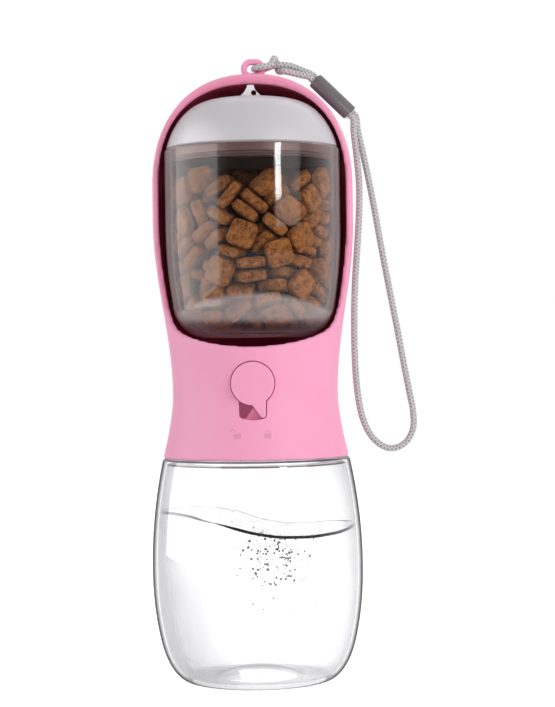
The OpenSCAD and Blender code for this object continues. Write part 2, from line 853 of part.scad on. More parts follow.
module latch_pin() {
    color(STEEL)
        translate([-latch_pocket_w - latch_boss + 0.6, latch_y, latch_pin_z])
            rotate([0, 90, 0])
                cylinder(r = latch_pin_r, h = 2 * (latch_pocket_w + latch_boss) - 1.2, $fn = 32);
}

module lid_latch() {
    rise = latch_tip_z - latch_pin_z;
    root_w = latch_root;
    color(WHITE)
        difference() {
            union() {
                translate([0, latch_y + latch_t / 2, latch_pin_z])
                    rotate([90, 0, 0])
                        linear_extrude(latch_t)
                            polygon([[-root_w, 0], [-root_w, 0.36 * rise], [-0.72 * root_w, 0.55 * rise],
                                [-0.5 * root_w, 0.74 * rise], [-latch_tip, rise], [latch_tip, rise],
                                [0.5 * root_w, 0.74 * rise], [0.72 * root_w, 0.55 * rise],
                                [root_w, 0.36 * rise], [root_w, 0]]);
                translate([-root_w, latch_y, latch_pin_z])
                    rotate([0, 90, 0])
                        cylinder(r = latch_hub_r, h = 2 * root_w, $fn = 48);
            }
            translate([-root_w - past, latch_y, latch_pin_z])
                rotate([0, 90, 0])
                    cylinder(r = latch_pin_r + run_fit, h = 2 * (root_w + past), $fn = 32);
            translate([latch_hole_x, latch_y - latch_t, lid_top_z + 1.1])
                rotate([-90, 0, 0])
                    cylinder(r = latch_hole_r, h = 2 * latch_t, $fn = 24);
        }
}

// --- lanyard ----------------------------------------------------------------------------------------------

module lanyard_hitch() {
    color(CORD)
        swept(hitch_points, cord_r, 8);
}

module lanyard_loop() {
    color(CORD)
        swept(loop_points, cord_r, 8);
}

module cord_slider() {
    color(GREY)
        translate([slider_x, slider_y, slider_z])
            rotate([0, slider_tilt, 0])
                rotate(slider_roll)
                    difference() {
                        union() {
                            for (side = [-1, 1])
                                translate([0, side * slider_half, -slider_l / 2])
                                    cylinder(r = slider_r, h = slider_l, $fn = 48);
                            translate([-slider_r, -slider_half, -slider_l / 2])
                                cube([2 * slider_r, 2 * slider_half, slider_l]);
                        }
                        for (side = [-1, 1])
                            for (end = [-1, 1])
                                translate([0, side * slider_half, end * (slider_l / 2 - socket_l / 2 + past / 2)])
                                    cylinder(r = cord_r + socket_gap, h = socket_l + past, center = true, $fn = 32);
                    }
}

body_shell();
valve_block();
valve_screws();
outlet_seal();
thread_collar();
bottle_gasket();
lock_knob();
knob_clip();
gland_ring();
plunger();
front_o_ring();
valve_o_ring();
return_spring();
food_cup();
cup_lid();
lid_seal();
lid_latch();
latch_pin();
water_bottle();
lanyard_hitch();
lanyard_loop();
cord_slider();
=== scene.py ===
"""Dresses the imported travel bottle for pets: satin pink body, clear cup with dry food, clear bottle with water."""

import json
import math

import bmesh
import bpy
import numpy as np
from bpy.props import FloatProperty, FloatVectorProperty, IntProperty, PointerProperty
from mathutils import Matrix, Vector, noise

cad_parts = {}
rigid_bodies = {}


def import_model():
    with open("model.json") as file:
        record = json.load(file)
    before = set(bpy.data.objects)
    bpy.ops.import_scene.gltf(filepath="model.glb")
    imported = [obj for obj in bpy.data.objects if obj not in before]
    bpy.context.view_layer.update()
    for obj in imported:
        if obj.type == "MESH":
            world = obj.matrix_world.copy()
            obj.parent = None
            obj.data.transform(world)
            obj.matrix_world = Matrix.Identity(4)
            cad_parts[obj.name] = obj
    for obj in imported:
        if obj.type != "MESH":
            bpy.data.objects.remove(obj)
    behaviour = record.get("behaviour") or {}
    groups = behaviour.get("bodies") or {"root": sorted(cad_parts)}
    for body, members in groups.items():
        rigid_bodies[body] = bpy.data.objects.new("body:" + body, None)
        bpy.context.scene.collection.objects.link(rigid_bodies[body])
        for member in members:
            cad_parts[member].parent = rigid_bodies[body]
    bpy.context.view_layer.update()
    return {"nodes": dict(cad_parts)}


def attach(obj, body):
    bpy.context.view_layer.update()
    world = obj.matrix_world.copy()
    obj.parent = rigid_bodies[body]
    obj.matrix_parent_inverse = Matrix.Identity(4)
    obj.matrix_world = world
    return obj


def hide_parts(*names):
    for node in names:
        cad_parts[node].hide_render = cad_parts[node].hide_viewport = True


bl_info = {
    "name": "Pet Travel Bottle",
    "version": (1, 0, 0),
    "blender": (4, 5, 0),
    "location": "View3D > Sidebar > Pet Bottle",
    "description": "Builds a pet travel bottle with a drinking trough, a food cup, water and a lanyard",
    "category": "Add Mesh",
}

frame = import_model()

MM = 0.001
TURN = 2 * math.pi
ROUND = 128
SHARP_ANGLE = math.radians(38)
TINY = 1e-6
VOXEL = 0.82
FOOD_SEED, BUBBLE_SEED = 7, 11
DOME_STEPS = 26

# Looks: gloss seen face on, the painted shade on the bottle's left and low side, the body's gloss and the painted shade
# on its rim, and the painted reflection, a pale arc, on the cup's foot
FACE_ON_GLOSS = 0.04
PAINTED_SHADE_ACROSS, PAINTED_SHADE_UP, PAINTED_SHADE_START = 45.0, 14.0, 0.1
PINK_SHINE, RIM_SHADE = 0.12, 0.32
PAINTED_REFLECTION_TOP, PAINTED_REFLECTION_FOOT, PAINTED_REFLECTION_ARCH = 141.5, 129.5, 8.0
SLOW_CHANGE, FINE_GRAIN = 45.0, 2600.0

# --- sizes of the part's source, in millimetres ---

# Pink body
SEAM_R, SEAM_Z = 34.1, 81.7
WAIST_R, WAIST_Z = 30.2, 104.4
BELLY_R, BELLY_Z = 36.7, 168.2
DOME_Z, DOME_H, DOME_POWER = 180.0, 41.6, 2.25
TOP_Z = DOME_Z + DOME_H
WALL, CROWN, CAVITY_POWER, FLARE_POWER = 2.1, 3.9, 2.4, 1.6
FLOOR_Z = 118.4
RIM_Y, SWEEP_R, SWEEP_Z, LIP_SLOPE = 7.5, 14.0, 140.4, math.radians(21.6)
BLOCK_TOP_Z, BLOCK_Z, BLOCK_R, BLOCK_FLAT_Y = 115.6, 93.5, 27.6, 22.2
COLLAR_R = 29.1
EYE_X, EYE_Z, EYE_HALF_W, EYE_HALF_H, EYE_BAND, EYE_T = 0.9, TOP_Z + 2.1, 2.4, 1.5, 2.1, 3.0
OUTLET_R, OUTLET_Y = 2.4, 1

# Button
KNOB_R, KNOB_Z, KNOB_T, KNOB_PROUD, PRESS, KNOB_GAP = 7.7, 108.9, 3.6, 1.0, 3.5, 0.3
TAIL_TIP_R, TAIL_TIP_AT, TAIL_ROOT_W, TAIL_REACH = 1.15, 11.55, 2.55, 12.7
HALF_TURN = math.radians(17.5)
GLAND_R, STEM_R, UNDER_GAP, CLIP_R = 6.0, 3.5, 0.3, 4.3
OPEN_LOCK_AT, SHUT_LOCK_AT = (-5.6, 90.6), (5.1, 90.6)

# Cup and lid
CUP_R, CUP_LOW_R, CUP_CORNER_R, CUP_WALL = 32.1, 29.9, 13.0, 2.0
CUP_Z, CUP_TOP_Z, CUP_STRAIGHT_Z = 125.2, 194.0, 165.0
LID_R, LID_Z, LID_H, LID_T, LID_POWER, LID_RISE_POWER = 31.5, 194.3, 18.6, 2.0, 4.0, 1.3
PLUG_R, PLUG_T, PLUG_H = 29.6, 2.0, 4.5
SEAL_GROOVE_D, SEAL_RING_R = 1.05, 0.7
LATCH_Y, LATCH_PIN_Z, LATCH_ROOT, LATCH_TIP, LATCH_T = -7.5, 210.7, 3.85, 1.2, 1.6
LATCH_HUB_R, LATCH_POCKET_L, LATCH_BOSS = 1.7, 2.3, 1.5

# Water bottle
BOTTLE_R, BOTTLE_WIDE_Z, BOTTLE_LOW_R, LOW_SIDE_Z, BOTTLE_WALL, SIDE_POWER = 38.5, 42.0, 35.7, 15.0, 1.8, 2.2
SHOULDER_Z, NECK_TOP_Z, NECK_R, RIDGE, PITCH, THREAD_TURNS, THREAD_STEPS = 81.4, 92.0, 25.6, 1.2, 4.0, 1.25, 48
FOOT_R, FOOT_FLAT, PUNT_H = 24.5, 8.0, 3.4

# The mould that the dry food falls into, and how far from the axis it starts
MOULD_GAP, CHUTE_H, HEAP_R = 0.35, 300, 21

# Water's edge, as places across the bottle and heights
STILL_WATER_Z = 57.8
NEAR_WATER = [(-37, 61.7), (-34, 62.5), (-30.4, 62.7), (-24, 62), (-18.2, 60.7), (-12.1, 59.5), (-6.8, 58.1), (0, 56.4),
              (7.4, 55.2), (13.4, 54.8), (19.5, 54.6), (27.4, 54.7), (33, 55), (37, 55.6)]
FAR_WATER = [(-37, 61.7), (-29.9, 61.7), (-25.3, 61.8), (-20.2, 61.2), (-12.7, 60.2), (-6.8, 58.7), (-1.9, 56.8),
             (6.2, 54.9), (12.9, 54.4), (19, 54.7), (27.8, 56.3), (33, 57.4), (37, 58.4)]

# Bubbles: the cloud of round ones, and the places of the flat ones
BUBBLE_CENTRE, BUBBLE_SPREAD = (5.5, -6, 45), (6.0, 8.0, 6.5)
FLAT_BUBBLES = [(9.2, -9, 45.4), (11.2, -8, 45.0), (11.6, -7, 38.4)]

# Lanyard
CORD_R, CORD_STEP = 1.2, 0.55
SLIDER_L, SLIDER_R, SLIDER_HALF = 17.8, 2.3, 1.3
SLIDER_AT, SLIDER_TILT, SLIDER_ROLL = (29.8, 0, 213.1), math.radians(134.5), math.radians(35)
SOCKET_L = 2.5
HITCH_ROUTE = [
    (25.76, 1.07, 218.12), (23.97, 1.07, 219.87), (22.26, 1.07, 221.55), (18.9, 1, 223), (15, 0.7, 224.6),
    (11.2, 0.4, 225.1), (8.7, 0.6, 225), (6.8, 1.6, 224.6), (4.7, 3.1, 224.1), (2.5, 2.5, 223.8),
    (1.2, 0, 223.7), (2.2, -2.5, 223.8), (4.6, -3.1, 224.1), (6.7, -2.7, 224.5), (7.8, -2.1, 225.5),
    (8.4, -0.9, 227), (8.8, 0.6, 227.5), (9.2, 2.3, 226.6), (9.6, 2.9, 225.1), (10, 2.2, 223.4),
    (10.7, 0.5, 222.7), (12.4, -0.9, 222.6), (15.3, -1.2, 221.9), (18.9, -1.1, 221), (21.22, -1.07, 220.49),
    (22.93, -1.07, 218.81), (24.71, -1.07, 217.05),
]
LOOP_ROUTE = [
    (34.89, 1.07, 209.15), (36.67, 1.07, 207.39), (38.38, 1.07, 205.7), (38.9, 1.2, 201), (40.6, 1.5, 193),
    (42.6, 1.9, 183), (44.6, 2.2, 172), (46.6, 2.5, 160), (48.7, 2.6, 148), (50.7, 2.6, 137),
    (52.7, 2.5, 126), (54.6, 2.3, 115), (56.4, 2, 105), (57.7, 1.7, 97.5), (57.6, 1.3, 91), (54.6, 0.8, 85.9),
    (49.5, 0.4, 84), (44.8, 0, 86), (41.1, -0.4, 90.5), (38.6, -0.8, 97.5), (37.2, -1, 107), (36.6, -1.1, 119),
    (36.6, -1.1, 132), (37.1, -1.1, 145), (38.1, -1.1, 158), (38.9, -1.1, 170), (39.1, -1.1, 181),
    (38.3, -1.1, 191.5), (37.4, -1.1, 200), (37.34, -1.07, 204.65), (35.63, -1.07, 206.33),
    (33.84, -1.07, 208.08),
]

# --- the photograph's view ---

IMAGE_H = 707
FOCAL_PX = 2045
SENSOR_H = 24.0
VIEW_DISTANCE = 0.75
VIEW_X, VIEW_Z = 0.0083, 0.1193
VIEW_ROLL = 0.0145
VIEW_TURN = math.radians(1.2)


def linear(red, green, blue):
    """The linear colour of one given in steps of 0 to 255."""
    return tuple(
        c / 255 / 12.92 if c <= 10 else ((c / 255 + 0.055) / 1.055) ** 2.4 for c in (red, green, blue)
    )


# --- settings ---


def colour_setting(name, description, *rgb):
    return FloatVectorProperty(
        name=name, description=description, subtype="COLOR", size=3, min=0, max=1, default=linear(*rgb)
    )


class BottleColours(bpy.types.PropertyGroup):
    """Colours of the bottle's plastics, cord and contents"""

    pink: colour_setting("Pink", "Moulded body and button", 247, 165, 197)
    # A deeper pink painted as shade inside the trough and the dome.
    pink_painted_shade: colour_setting("Deep pink", "Inside of the trough and the dome", 214, 80, 112)
    lid: colour_setting("Lid", "Lid of the food cup", 200, 197, 201)
    white: colour_setting("White", "Latch, collar and valve", 236, 236, 238)
    smoke: colour_setting("Smoke", "What each face of the cup's wall lets through", 243, 239, 238)
    cord: colour_setting("Cord", "Braided lanyard", 196, 193, 195)
    slider: colour_setting("Slider", "Slider on the lanyard", 96, 89, 92)
    biscuit: colour_setting("Biscuit", "Crust of the dry food", 204, 140, 76)
    biscuit_dark: colour_setting("Biscuit shade", "Pits and baked edges of the dry food", 84, 44, 18)


class BottleSizes(bpy.types.PropertyGroup):
    """Sizes that a user may change without leaving the part's solids"""

    rim_softness: FloatProperty(
        name="Rim softness", description="Rounding inside the opening's rim", unit="LENGTH", default=0.35 * MM
    )
    biscuit_w: FloatProperty(
        name="Biscuit width", description="Width of one biscuit", unit="LENGTH", default=10.0 * MM
    )
    biscuit_t: FloatProperty(
        name="Biscuit thickness", description="Thickness of one biscuit", unit="LENGTH", default=4.0 * MM
    )
    biscuits: IntProperty(name="Biscuits", description="Number of biscuits in the cup", default=232)
    water_z: FloatProperty(
        name="Water level", description="Height of the still water", unit="LENGTH", default=STILL_WATER_Z * MM
    )
    wave: FloatProperty(name="Wave", description="How strongly the water's surface swings", default=1.0)
    bubbles: IntProperty(name="Bubbles", description="Number of bubbles in the water", default=300)


# --- outlines ---


def dome_rise(r, radius, height, power, rise_power=None):
    return height * (1 - min(r / radius, 1) ** power) ** (1 / (rise_power or power))


def body_r(z):
    """Radius of the pink body at a height."""
    if z < WAIST_Z:
        return WAIST_R + (SEAM_R - WAIST_R) * ((WAIST_Z - z) / (WAIST_Z - SEAM_Z)) ** FLARE_POWER
    if z < BELLY_Z:
        swell = math.cos(math.pi * (z - WAIST_Z) / (BELLY_Z - WAIST_Z))
        return WAIST_R + (BELLY_R - WAIST_R) * (1 - swell) / 2
    return BELLY_R


def cup_out(z):
    if z > CUP_STRAIGHT_Z:
        return CUP_R
    low_z = CUP_Z + CUP_CORNER_R
    return CUP_R - (CUP_R - CUP_LOW_R) * ((CUP_STRAIGHT_Z - z) / (CUP_STRAIGHT_Z - low_z)) ** 2


def foot_end():
    """Where the foot's curve, part of an ellipse, has the side's own slope."""
    slope = SIDE_POWER * (BOTTLE_R - BOTTLE_LOW_R) / (BOTTLE_WIDE_Z - LOW_SIDE_Z)
    share = slope * LOW_SIDE_Z / (BOTTLE_LOW_R - FOOT_R)
    return math.acos(share / (1 - share))


def bottle_out(z):
    if z > BOTTLE_WIDE_Z:
        return BOTTLE_R - (BOTTLE_R - SEAM_R) * ((z - BOTTLE_WIDE_Z) / (SHOULDER_Z - BOTTLE_WIDE_Z)) ** 2
    drawn_in = max(BOTTLE_WIDE_Z - z, 0) / (BOTTLE_WIDE_Z - LOW_SIDE_Z)
    return BOTTLE_R - (BOTTLE_R - BOTTLE_LOW_R) * drawn_in**SIDE_POWER


def steps(start, end, count):
    return [start + (end - start) * i / count for i in range(count + 1)]


def dome_profile(z, radius, height, power, rise_power=None, above=0.0):
    """Radius and height of a domed top that stands at z, from where it has risen above a height to its crown."""
    radii = [radius * math.cos(math.pi / 2 * i / DOME_STEPS) for i in range(1, DOME_STEPS)]
    rises = [dome_rise(r, radius, height, power, rise_power) for r in radii]
    return [(r, z + rise) for r, rise in zip(radii, rises) if rise > above]


# --- mesh tools ---


def outward(bm):
    """Turns every face of a shape outward, and gives the shape back."""
    bmesh.ops.recalc_face_normals(bm, faces=bm.faces)
    return bm


def pushed(bm, face, vec):
    """Carries a copy of a face along, walls in the way that it went, and gives the copy's corners."""
    grown = bmesh.ops.extrude_face_region(bm, geom=[face])
    moved = [v for v in grown["geom"] if isinstance(v, bmesh.types.BMVert)]
    bmesh.ops.translate(bm, verts=moved, vec=vec)
    return moved


def spun(points, closed=False, count=ROUND):
    """A solid of revolution from a profile of radius and height, in millimetres."""
    bm = bmesh.new()
    verts = [bm.verts.new((r * MM, 0, z * MM)) for r, z in points]
    edges = [bm.edges.new(pair) for pair in zip(verts, verts[1:])]
    if closed:
        edges.append(bm.edges.new((verts[-1], verts[0])))
    bmesh.ops.spin(
        bm, geom=verts + edges, cent=(0, 0, 0), axis=(0, 0, 1), angle=TURN, steps=count, use_merge=True
    )
    bmesh.ops.remove_doubles(bm, verts=bm.verts, dist=TINY)
    return outward(bm)


def prism(outline, y0, y1, z=0.0):
    """An XZ outline, in millimetres, made solid from y0 to y1."""
    bm = bmesh.new()
    face = bm.faces.new([bm.verts.new((x * MM, y0 * MM, (h + z) * MM)) for x, h in outline])
    pushed(bm, face, (0, (y1 - y0) * MM, 0))
    return outward(bm)


def across(outline, half_w):
    """A YZ outline, in millimetres, made solid across the body."""
    bm = bmesh.new()
    face = bm.faces.new([bm.verts.new((-half_w * MM, y * MM, z * MM)) for y, z in outline])
    pushed(bm, face, (2 * half_w * MM, 0, 0))
    return outward(bm)


def disc_outline(x, z, radius, count=64):
    return [(x + radius * math.cos(TURN * i / count), z + radius * math.sin(TURN * i / count)) for i in range(count)]


def block(low, high):
    bm = bmesh.new()
    bmesh.ops.create_cube(bm, size=1)
    bmesh.ops.scale(bm, verts=bm.verts, vec=[(b - a) * MM for a, b in zip(low, high)])
    bmesh.ops.translate(bm, verts=bm.verts, vec=[(a + b) / 2 * MM for a, b in zip(low, high)])
    return bm


def rod(radius, length, at, turn=Matrix(), segments=48):
    """A cylinder about a place, upright unless it is turned."""
    bm = bmesh.new()
    bmesh.ops.create_cone(
        bm, cap_ends=True, segments=segments, radius1=radius * MM, radius2=radius * MM, depth=length * MM
    )
    bmesh.ops.transform(bm, matrix=Matrix.Translation([c * MM for c in at]) @ turn, verts=bm.verts)
    return bm


def bevel(bm, edges, width, segments=3):
    bmesh.ops.bevel(
        bm, geom=list(edges), offset=width * MM, offset_type="OFFSET", segments=segments, profile=0.5,
        affect="EDGES", material=-1, clamp_overlap=True,
    )


def sharp_edges(bm, angle=SHARP_ANGLE):
    return [e for e in bm.edges if len(e.link_faces) == 2 and e.calc_face_angle() > angle]


def to_mesh(name, bm):
    mesh = bpy.data.meshes.new(name)
    bm.to_mesh(mesh)
    bm.free()
    return mesh


def to_object(name, bm):
    obj = bpy.data.objects.new(name, to_mesh(name, bm))
    bpy.context.scene.collection.objects.link(obj)
    return obj


def drop(obj):
    """Takes an object and its mesh out of the file."""
    mesh = obj.data
    bpy.data.objects.remove(obj)
    bpy.data.meshes.remove(mesh)


def taken_apart(obj):
    """Takes an object apart again: its shape as a bmesh."""
    bm = bmesh.new()
    bm.from_mesh(obj.data)
    drop(obj)
    return bm


def settle(obj):
    """Puts what the modifiers make into the mesh."""
    depsgraph = bpy.context.evaluated_depsgraph_get()
    mesh = bpy.data.meshes.new_from_object(obj.evaluated_get(depsgraph))
    obj.modifiers.clear()
    old, obj.data = obj.data, mesh
    bpy.data.meshes.remove(old)


def combine(obj, bm, operation="DIFFERENCE"):
    """Cuts a shape out of an object, or joins it on."""
    other = to_object("cutter", bm)
    modifier = obj.modifiers.new("combine", "BOOLEAN")
    modifier.object, modifier.operation, modifier.solver = other, operation, "EXACT"
    settle(obj)
    drop(other)


def soften(obj, angle=SHARP_ANGLE):
    obj.data.polygons.foreach_set("use_smooth", [True] * len(obj.data.polygons))
    obj.data.set_sharp_from_angle(angle=angle)


def place(obj, body, slot, material, *nodes):
    """Finishes a piece: smooth faces, its material, its body and the solids that it stands for.

    The slot argument is not used; contents are given none."""
    soften(obj)
    obj.data.materials.clear()
    obj.data.materials.append(material)
    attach(obj, body)
    if nodes:
        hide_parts(*nodes)
    return obj


# --- materials ---


class Value:
    """A socket of a shader. Sums and products of values add the Math nodes that work them out."""

    def __init__(self, paint, socket):
        self.paint, self.socket = paint, socket

    def maths(self, operation, *values):
        return self.paint.node("ShaderNodeMath", {"operation": operation}, values)

    def __add__(self, other):
        return self.maths("ADD", self, other)

    def __sub__(self, other):
        return self.maths("SUBTRACT", self, other)

    def __rsub__(self, other):
        return self.maths("SUBTRACT", other, self)

    def __mul__(self, other):
        return self.maths("MULTIPLY", self, other)

    def __pow__(self, other):
        return self.maths("POWER", self, other)

    __radd__, __rmul__ = __add__, __mul__

    def clamped(self):
        return self.paint.node("ShaderNodeClamp", {}, [self])

    def sine(self):
        return self.maths("SINE", self)


class Paint:
    """A material, or the world's surroundings, under construction."""

    def __init__(self, owner):
        self.owner = bpy.data.materials.new(owner) if isinstance(owner, str) else owner
        self.owner.use_nodes = True
        self.tree = self.owner.node_tree
        self.tree.nodes.clear()

    def node(self, kind, settings=(), values=(), output=0):
        """Adds a node: its settings first, then the values or links of its sockets."""
        node = self.tree.nodes.new(kind)
        for key, value in dict(settings).items():
            setattr(node, key, value)
        pairs = values.items() if isinstance(values, dict) else enumerate(values)
        for key, value in pairs:
            if isinstance(value, Value):
                self.tree.links.new(value.socket, node.inputs[key])
            else:
                node.inputs[key].default_value = value
        return Value(self, node.outputs[output])

    def coords(self, kind="Object"):
        return self.node("ShaderNodeTexCoord", output=kind)

    def ray(self, kind):
        return self.node("ShaderNodeLightPath", output=f"Is {kind} Ray")

    def noted(self, name):
        """What the mesh notes for each vertex under that name."""
        return self.node("ShaderNodeAttribute", {"attribute_name": name}, output="Fac")

    def axes(self, names, vector=None):
        """The named parts of a vector, or of the place on the object."""
        vector = vector or self.coords()
        split = self.tree.nodes.new("ShaderNodeSeparateXYZ")
        self.tree.links.new(vector.socket, split.inputs[0])
        return [Value(self, split.outputs[name]) for name in names]

    def noise(self, scale, detail=3.0, roughness=0.55):
        values = {"Vector": self.coords(), "Scale": scale, "Detail": detail, "Roughness": roughness}
        return self.node("ShaderNodeTexNoise", {}, values)

    def blend(self, factor, low, high):
        values = {0: factor, 6: (*low, 1) if isinstance(low, tuple) else low,
                  7: (*high, 1) if isinstance(high, tuple) else high}
        return self.node("ShaderNodeMix", {"data_type": "RGBA"}, values, output=2)

    def bump(self, height, distance, strength=1.0):
        return self.node("ShaderNodeBump", {}, {"Height": height, "Distance": distance, "Strength": strength})

    def principled(self, **values):
        return self.node("ShaderNodeBsdfPrincipled", {}, {k.replace("_", " "): v for k, v in values.items()})

    def mixed(self, factor, first, second):
        return self.node("ShaderNodeMixShader", {}, [factor, first, second])

    def done(self, shader, kind="Material"):
        output = self.tree.nodes.new(f"ShaderNodeOutput{kind}")
        self.tree.links.new(shader.socket, output.inputs["Surface"])
        return self.owner


def tint(colour, amount):
    return tuple(min(c * amount, 1) for c in colour)


def moulded(name, colour, roughness, grain=FINE_GRAIN, depth=0.012, shine=0.5, second=None):
    """Moulded plastic: a fine eroded grain, a slow change of tone, and patches handled to a slight shine.

    A second tone comes with the function that tells how much of it there is at a place."""
    paint = Paint(name)
    colour = tuple(colour)
    slow, fine = paint.noise(SLOW_CHANGE), paint.noise(grain, 2.0)
    base = paint.blend(slow, tint(colour, 0.975), tint(colour, 1.02))
    if second:
        tone, share = second
        base = paint.blend(share(paint), base, tuple(tone))
    return paint.done(paint.principled(
        Base_Color=base, Roughness=slow * 0.12 + (roughness - 0.06), Specular_IOR_Level=shine,
        Normal=paint.bump(fine, depth * MM),
    ))


def painted_shade_on_plug(paint):
    """The part of the lid that dips into the cup, where its tone is painted dark as shade."""
    (z,) = paint.axes("Z")
    return ((LID_Z * MM - z) * (4 / MM)).clamped()


def clear(name, tone, smoke, edge, edge_power, shine_rough, shine=1.0, outline=None, painted_side_shade=0.0, painted_reflection=0.0):
    """Clear plastic: see-through face on, a grey band where it is seen edge on, and a gloss on top.

    An outline, of a colour and the facings at which it starts and is full, is the dark line that ends it.
    The painted side shade is the share of grey painted on a clear vessel at left and below, standing in for the dark
    side of the room;
    the painted reflection is that of a pale arc painted on its rounded foot, standing in for what it catches from the
    table."""
    paint = Paint(name)
    facing = paint.node("ShaderNodeLayerWeight", {}, {"Blend": 0.5}, output="Facing")
    wear = paint.noise(900.0)
    through = paint.node("ShaderNodeBsdfTransparent", {}, {"Color": (*smoke, 1)})
    shell = paint.principled(Base_Color=(*tone, 1), Roughness=0.35)
    amount = facing**edge_power * edge
    # Painted shade: grey on the vessel's left and low side.
    if painted_side_shade:
        x, z = paint.axes("XZ")
        amount = amount + (x * -PAINTED_SHADE_ACROSS - z * PAINTED_SHADE_UP - PAINTED_SHADE_START).clamped() * painted_side_shade
    # Painted reflection: a pale arc on the cup's rounded foot.
    if painted_reflection:
        x, z = paint.axes("XZ")
        under = (PAINTED_REFLECTION_TOP * MM - z - x * x * PAINTED_REFLECTION_ARCH) * (0.5 / MM)
        over = (z - PAINTED_REFLECTION_FOOT * MM) * (0.4 / MM)
        amount = amount + under.clamped() * over.clamped() * painted_reflection
    body = paint.mixed(amount.clamped(), through, shell)
    gloss = paint.node("ShaderNodeBsdfGlossy", {}, {"Color": (1, 1, 1, 1), "Roughness": shine_rough})
    mirrored = (facing**5 * (1 - FACE_ON_GLOSS) + FACE_ON_GLOSS) * (wear * 0.1 + 0.95) * shine
    if outline:
        colour, start, full = outline
        line = paint.principled(Base_Color=(*colour, 1), Roughness=0.6, Specular_IOR_Level=0.1)
        share = ((facing - start) * (1 / (full - start))).clamped()
        body = paint.mixed(share * 0.92, body, line)
        mirrored = mirrored * (1 - share)
    return paint.done(paint.mixed(mirrored.clamped(), body, gloss))


def silicone(name, low, high):
    paint = Paint(name)
    dust = paint.noise(1400.0)
    base = paint.blend(dust, linear(*low), linear(*high))
    return paint.done(paint.principled(Base_Color=base, Roughness=dust * 0.2 + 0.45, Subsurface_Weight=0.1))


def steel(name):
    paint = Paint(name)
    drawn = paint.noise(3000.0, 1.0)
    base = paint.blend(drawn, linear(168, 170, 174), linear(205, 207, 210))
    return paint.done(paint.principled(
        Base_Color=base, Metallic=1.0, Roughness=drawn * 0.2 + 0.25, Normal=paint.bump(drawn, 0.01 * MM)
    ))


def braid(name, colour):
    """Flat plaited yarns: two sets of strands that cross, each with a fine groove beside it that is bumped in and
    painted darker as shade.
    """
    paint = Paint(name)
    colour = tuple(colour)
    round_it, along = paint.axes("XY", paint.coords("UV"))
    strands, lay = 3, TURN / (1.35 * MM)
    right = (round_it * (TURN * strands) + along * lay).sine()
    left = (round_it * (TURN * strands) - along * lay).sine()
    plait = right.maths("MAXIMUM", right, left)
    yarn = paint.noise(5200.0, 2.0)
    height = plait * 0.5 + yarn * 0.25
    # The grooves between the strands are painted darker as shade; the yarn's own tone varies at random.
    base = paint.blend((plait * 0.45 + 0.5 + (yarn - 0.5) * 0.5).clamped(), tint(colour, 0.5), tint(colour, 1.15))
    return paint.done(paint.principled(
        Base_Color=base, Roughness=0.82, Sheen_Weight=0.25, Normal=paint.bump(height, 0.22 * MM)
    ))


def crust(name, light, dark):
    """Baked biscuit: a crumbly face with dark pits, paler where the crumb shows, and painted shade where it lies deep
    in the heap.
    """
    paint = Paint(name)
    light, dark = tuple(light), tuple(dark)
    coarse, fine, patch = paint.noise(420.0, 5.0, 0.7), paint.noise(1700.0, 3.0, 0.6), paint.noise(70.0)
    mask = (((coarse - 0.5) * 2.4 + (fine - 0.5) * 2.0 + patch * 0.5) + 0.33).clamped()
    # Biscuits deep in the heap are painted dark as shade.
    base = paint.blend(paint.noted("painted_heap_shade") * 0.85, paint.blend(mask, dark, light), tint(dark, 0.25))
    return paint.done(paint.principled(
        Base_Color=base, Roughness=fine * 0.15 + 0.68, Specular_IOR_Level=0.2,
        Normal=paint.bump(coarse * 0.7 + fine * 0.3, 0.55 * MM),
    ))


def colours():
    return bpy.context.scene.bottle_colours


def sizes():
    return bpy.context.scene.bottle_sizes


MATERIALS = {}


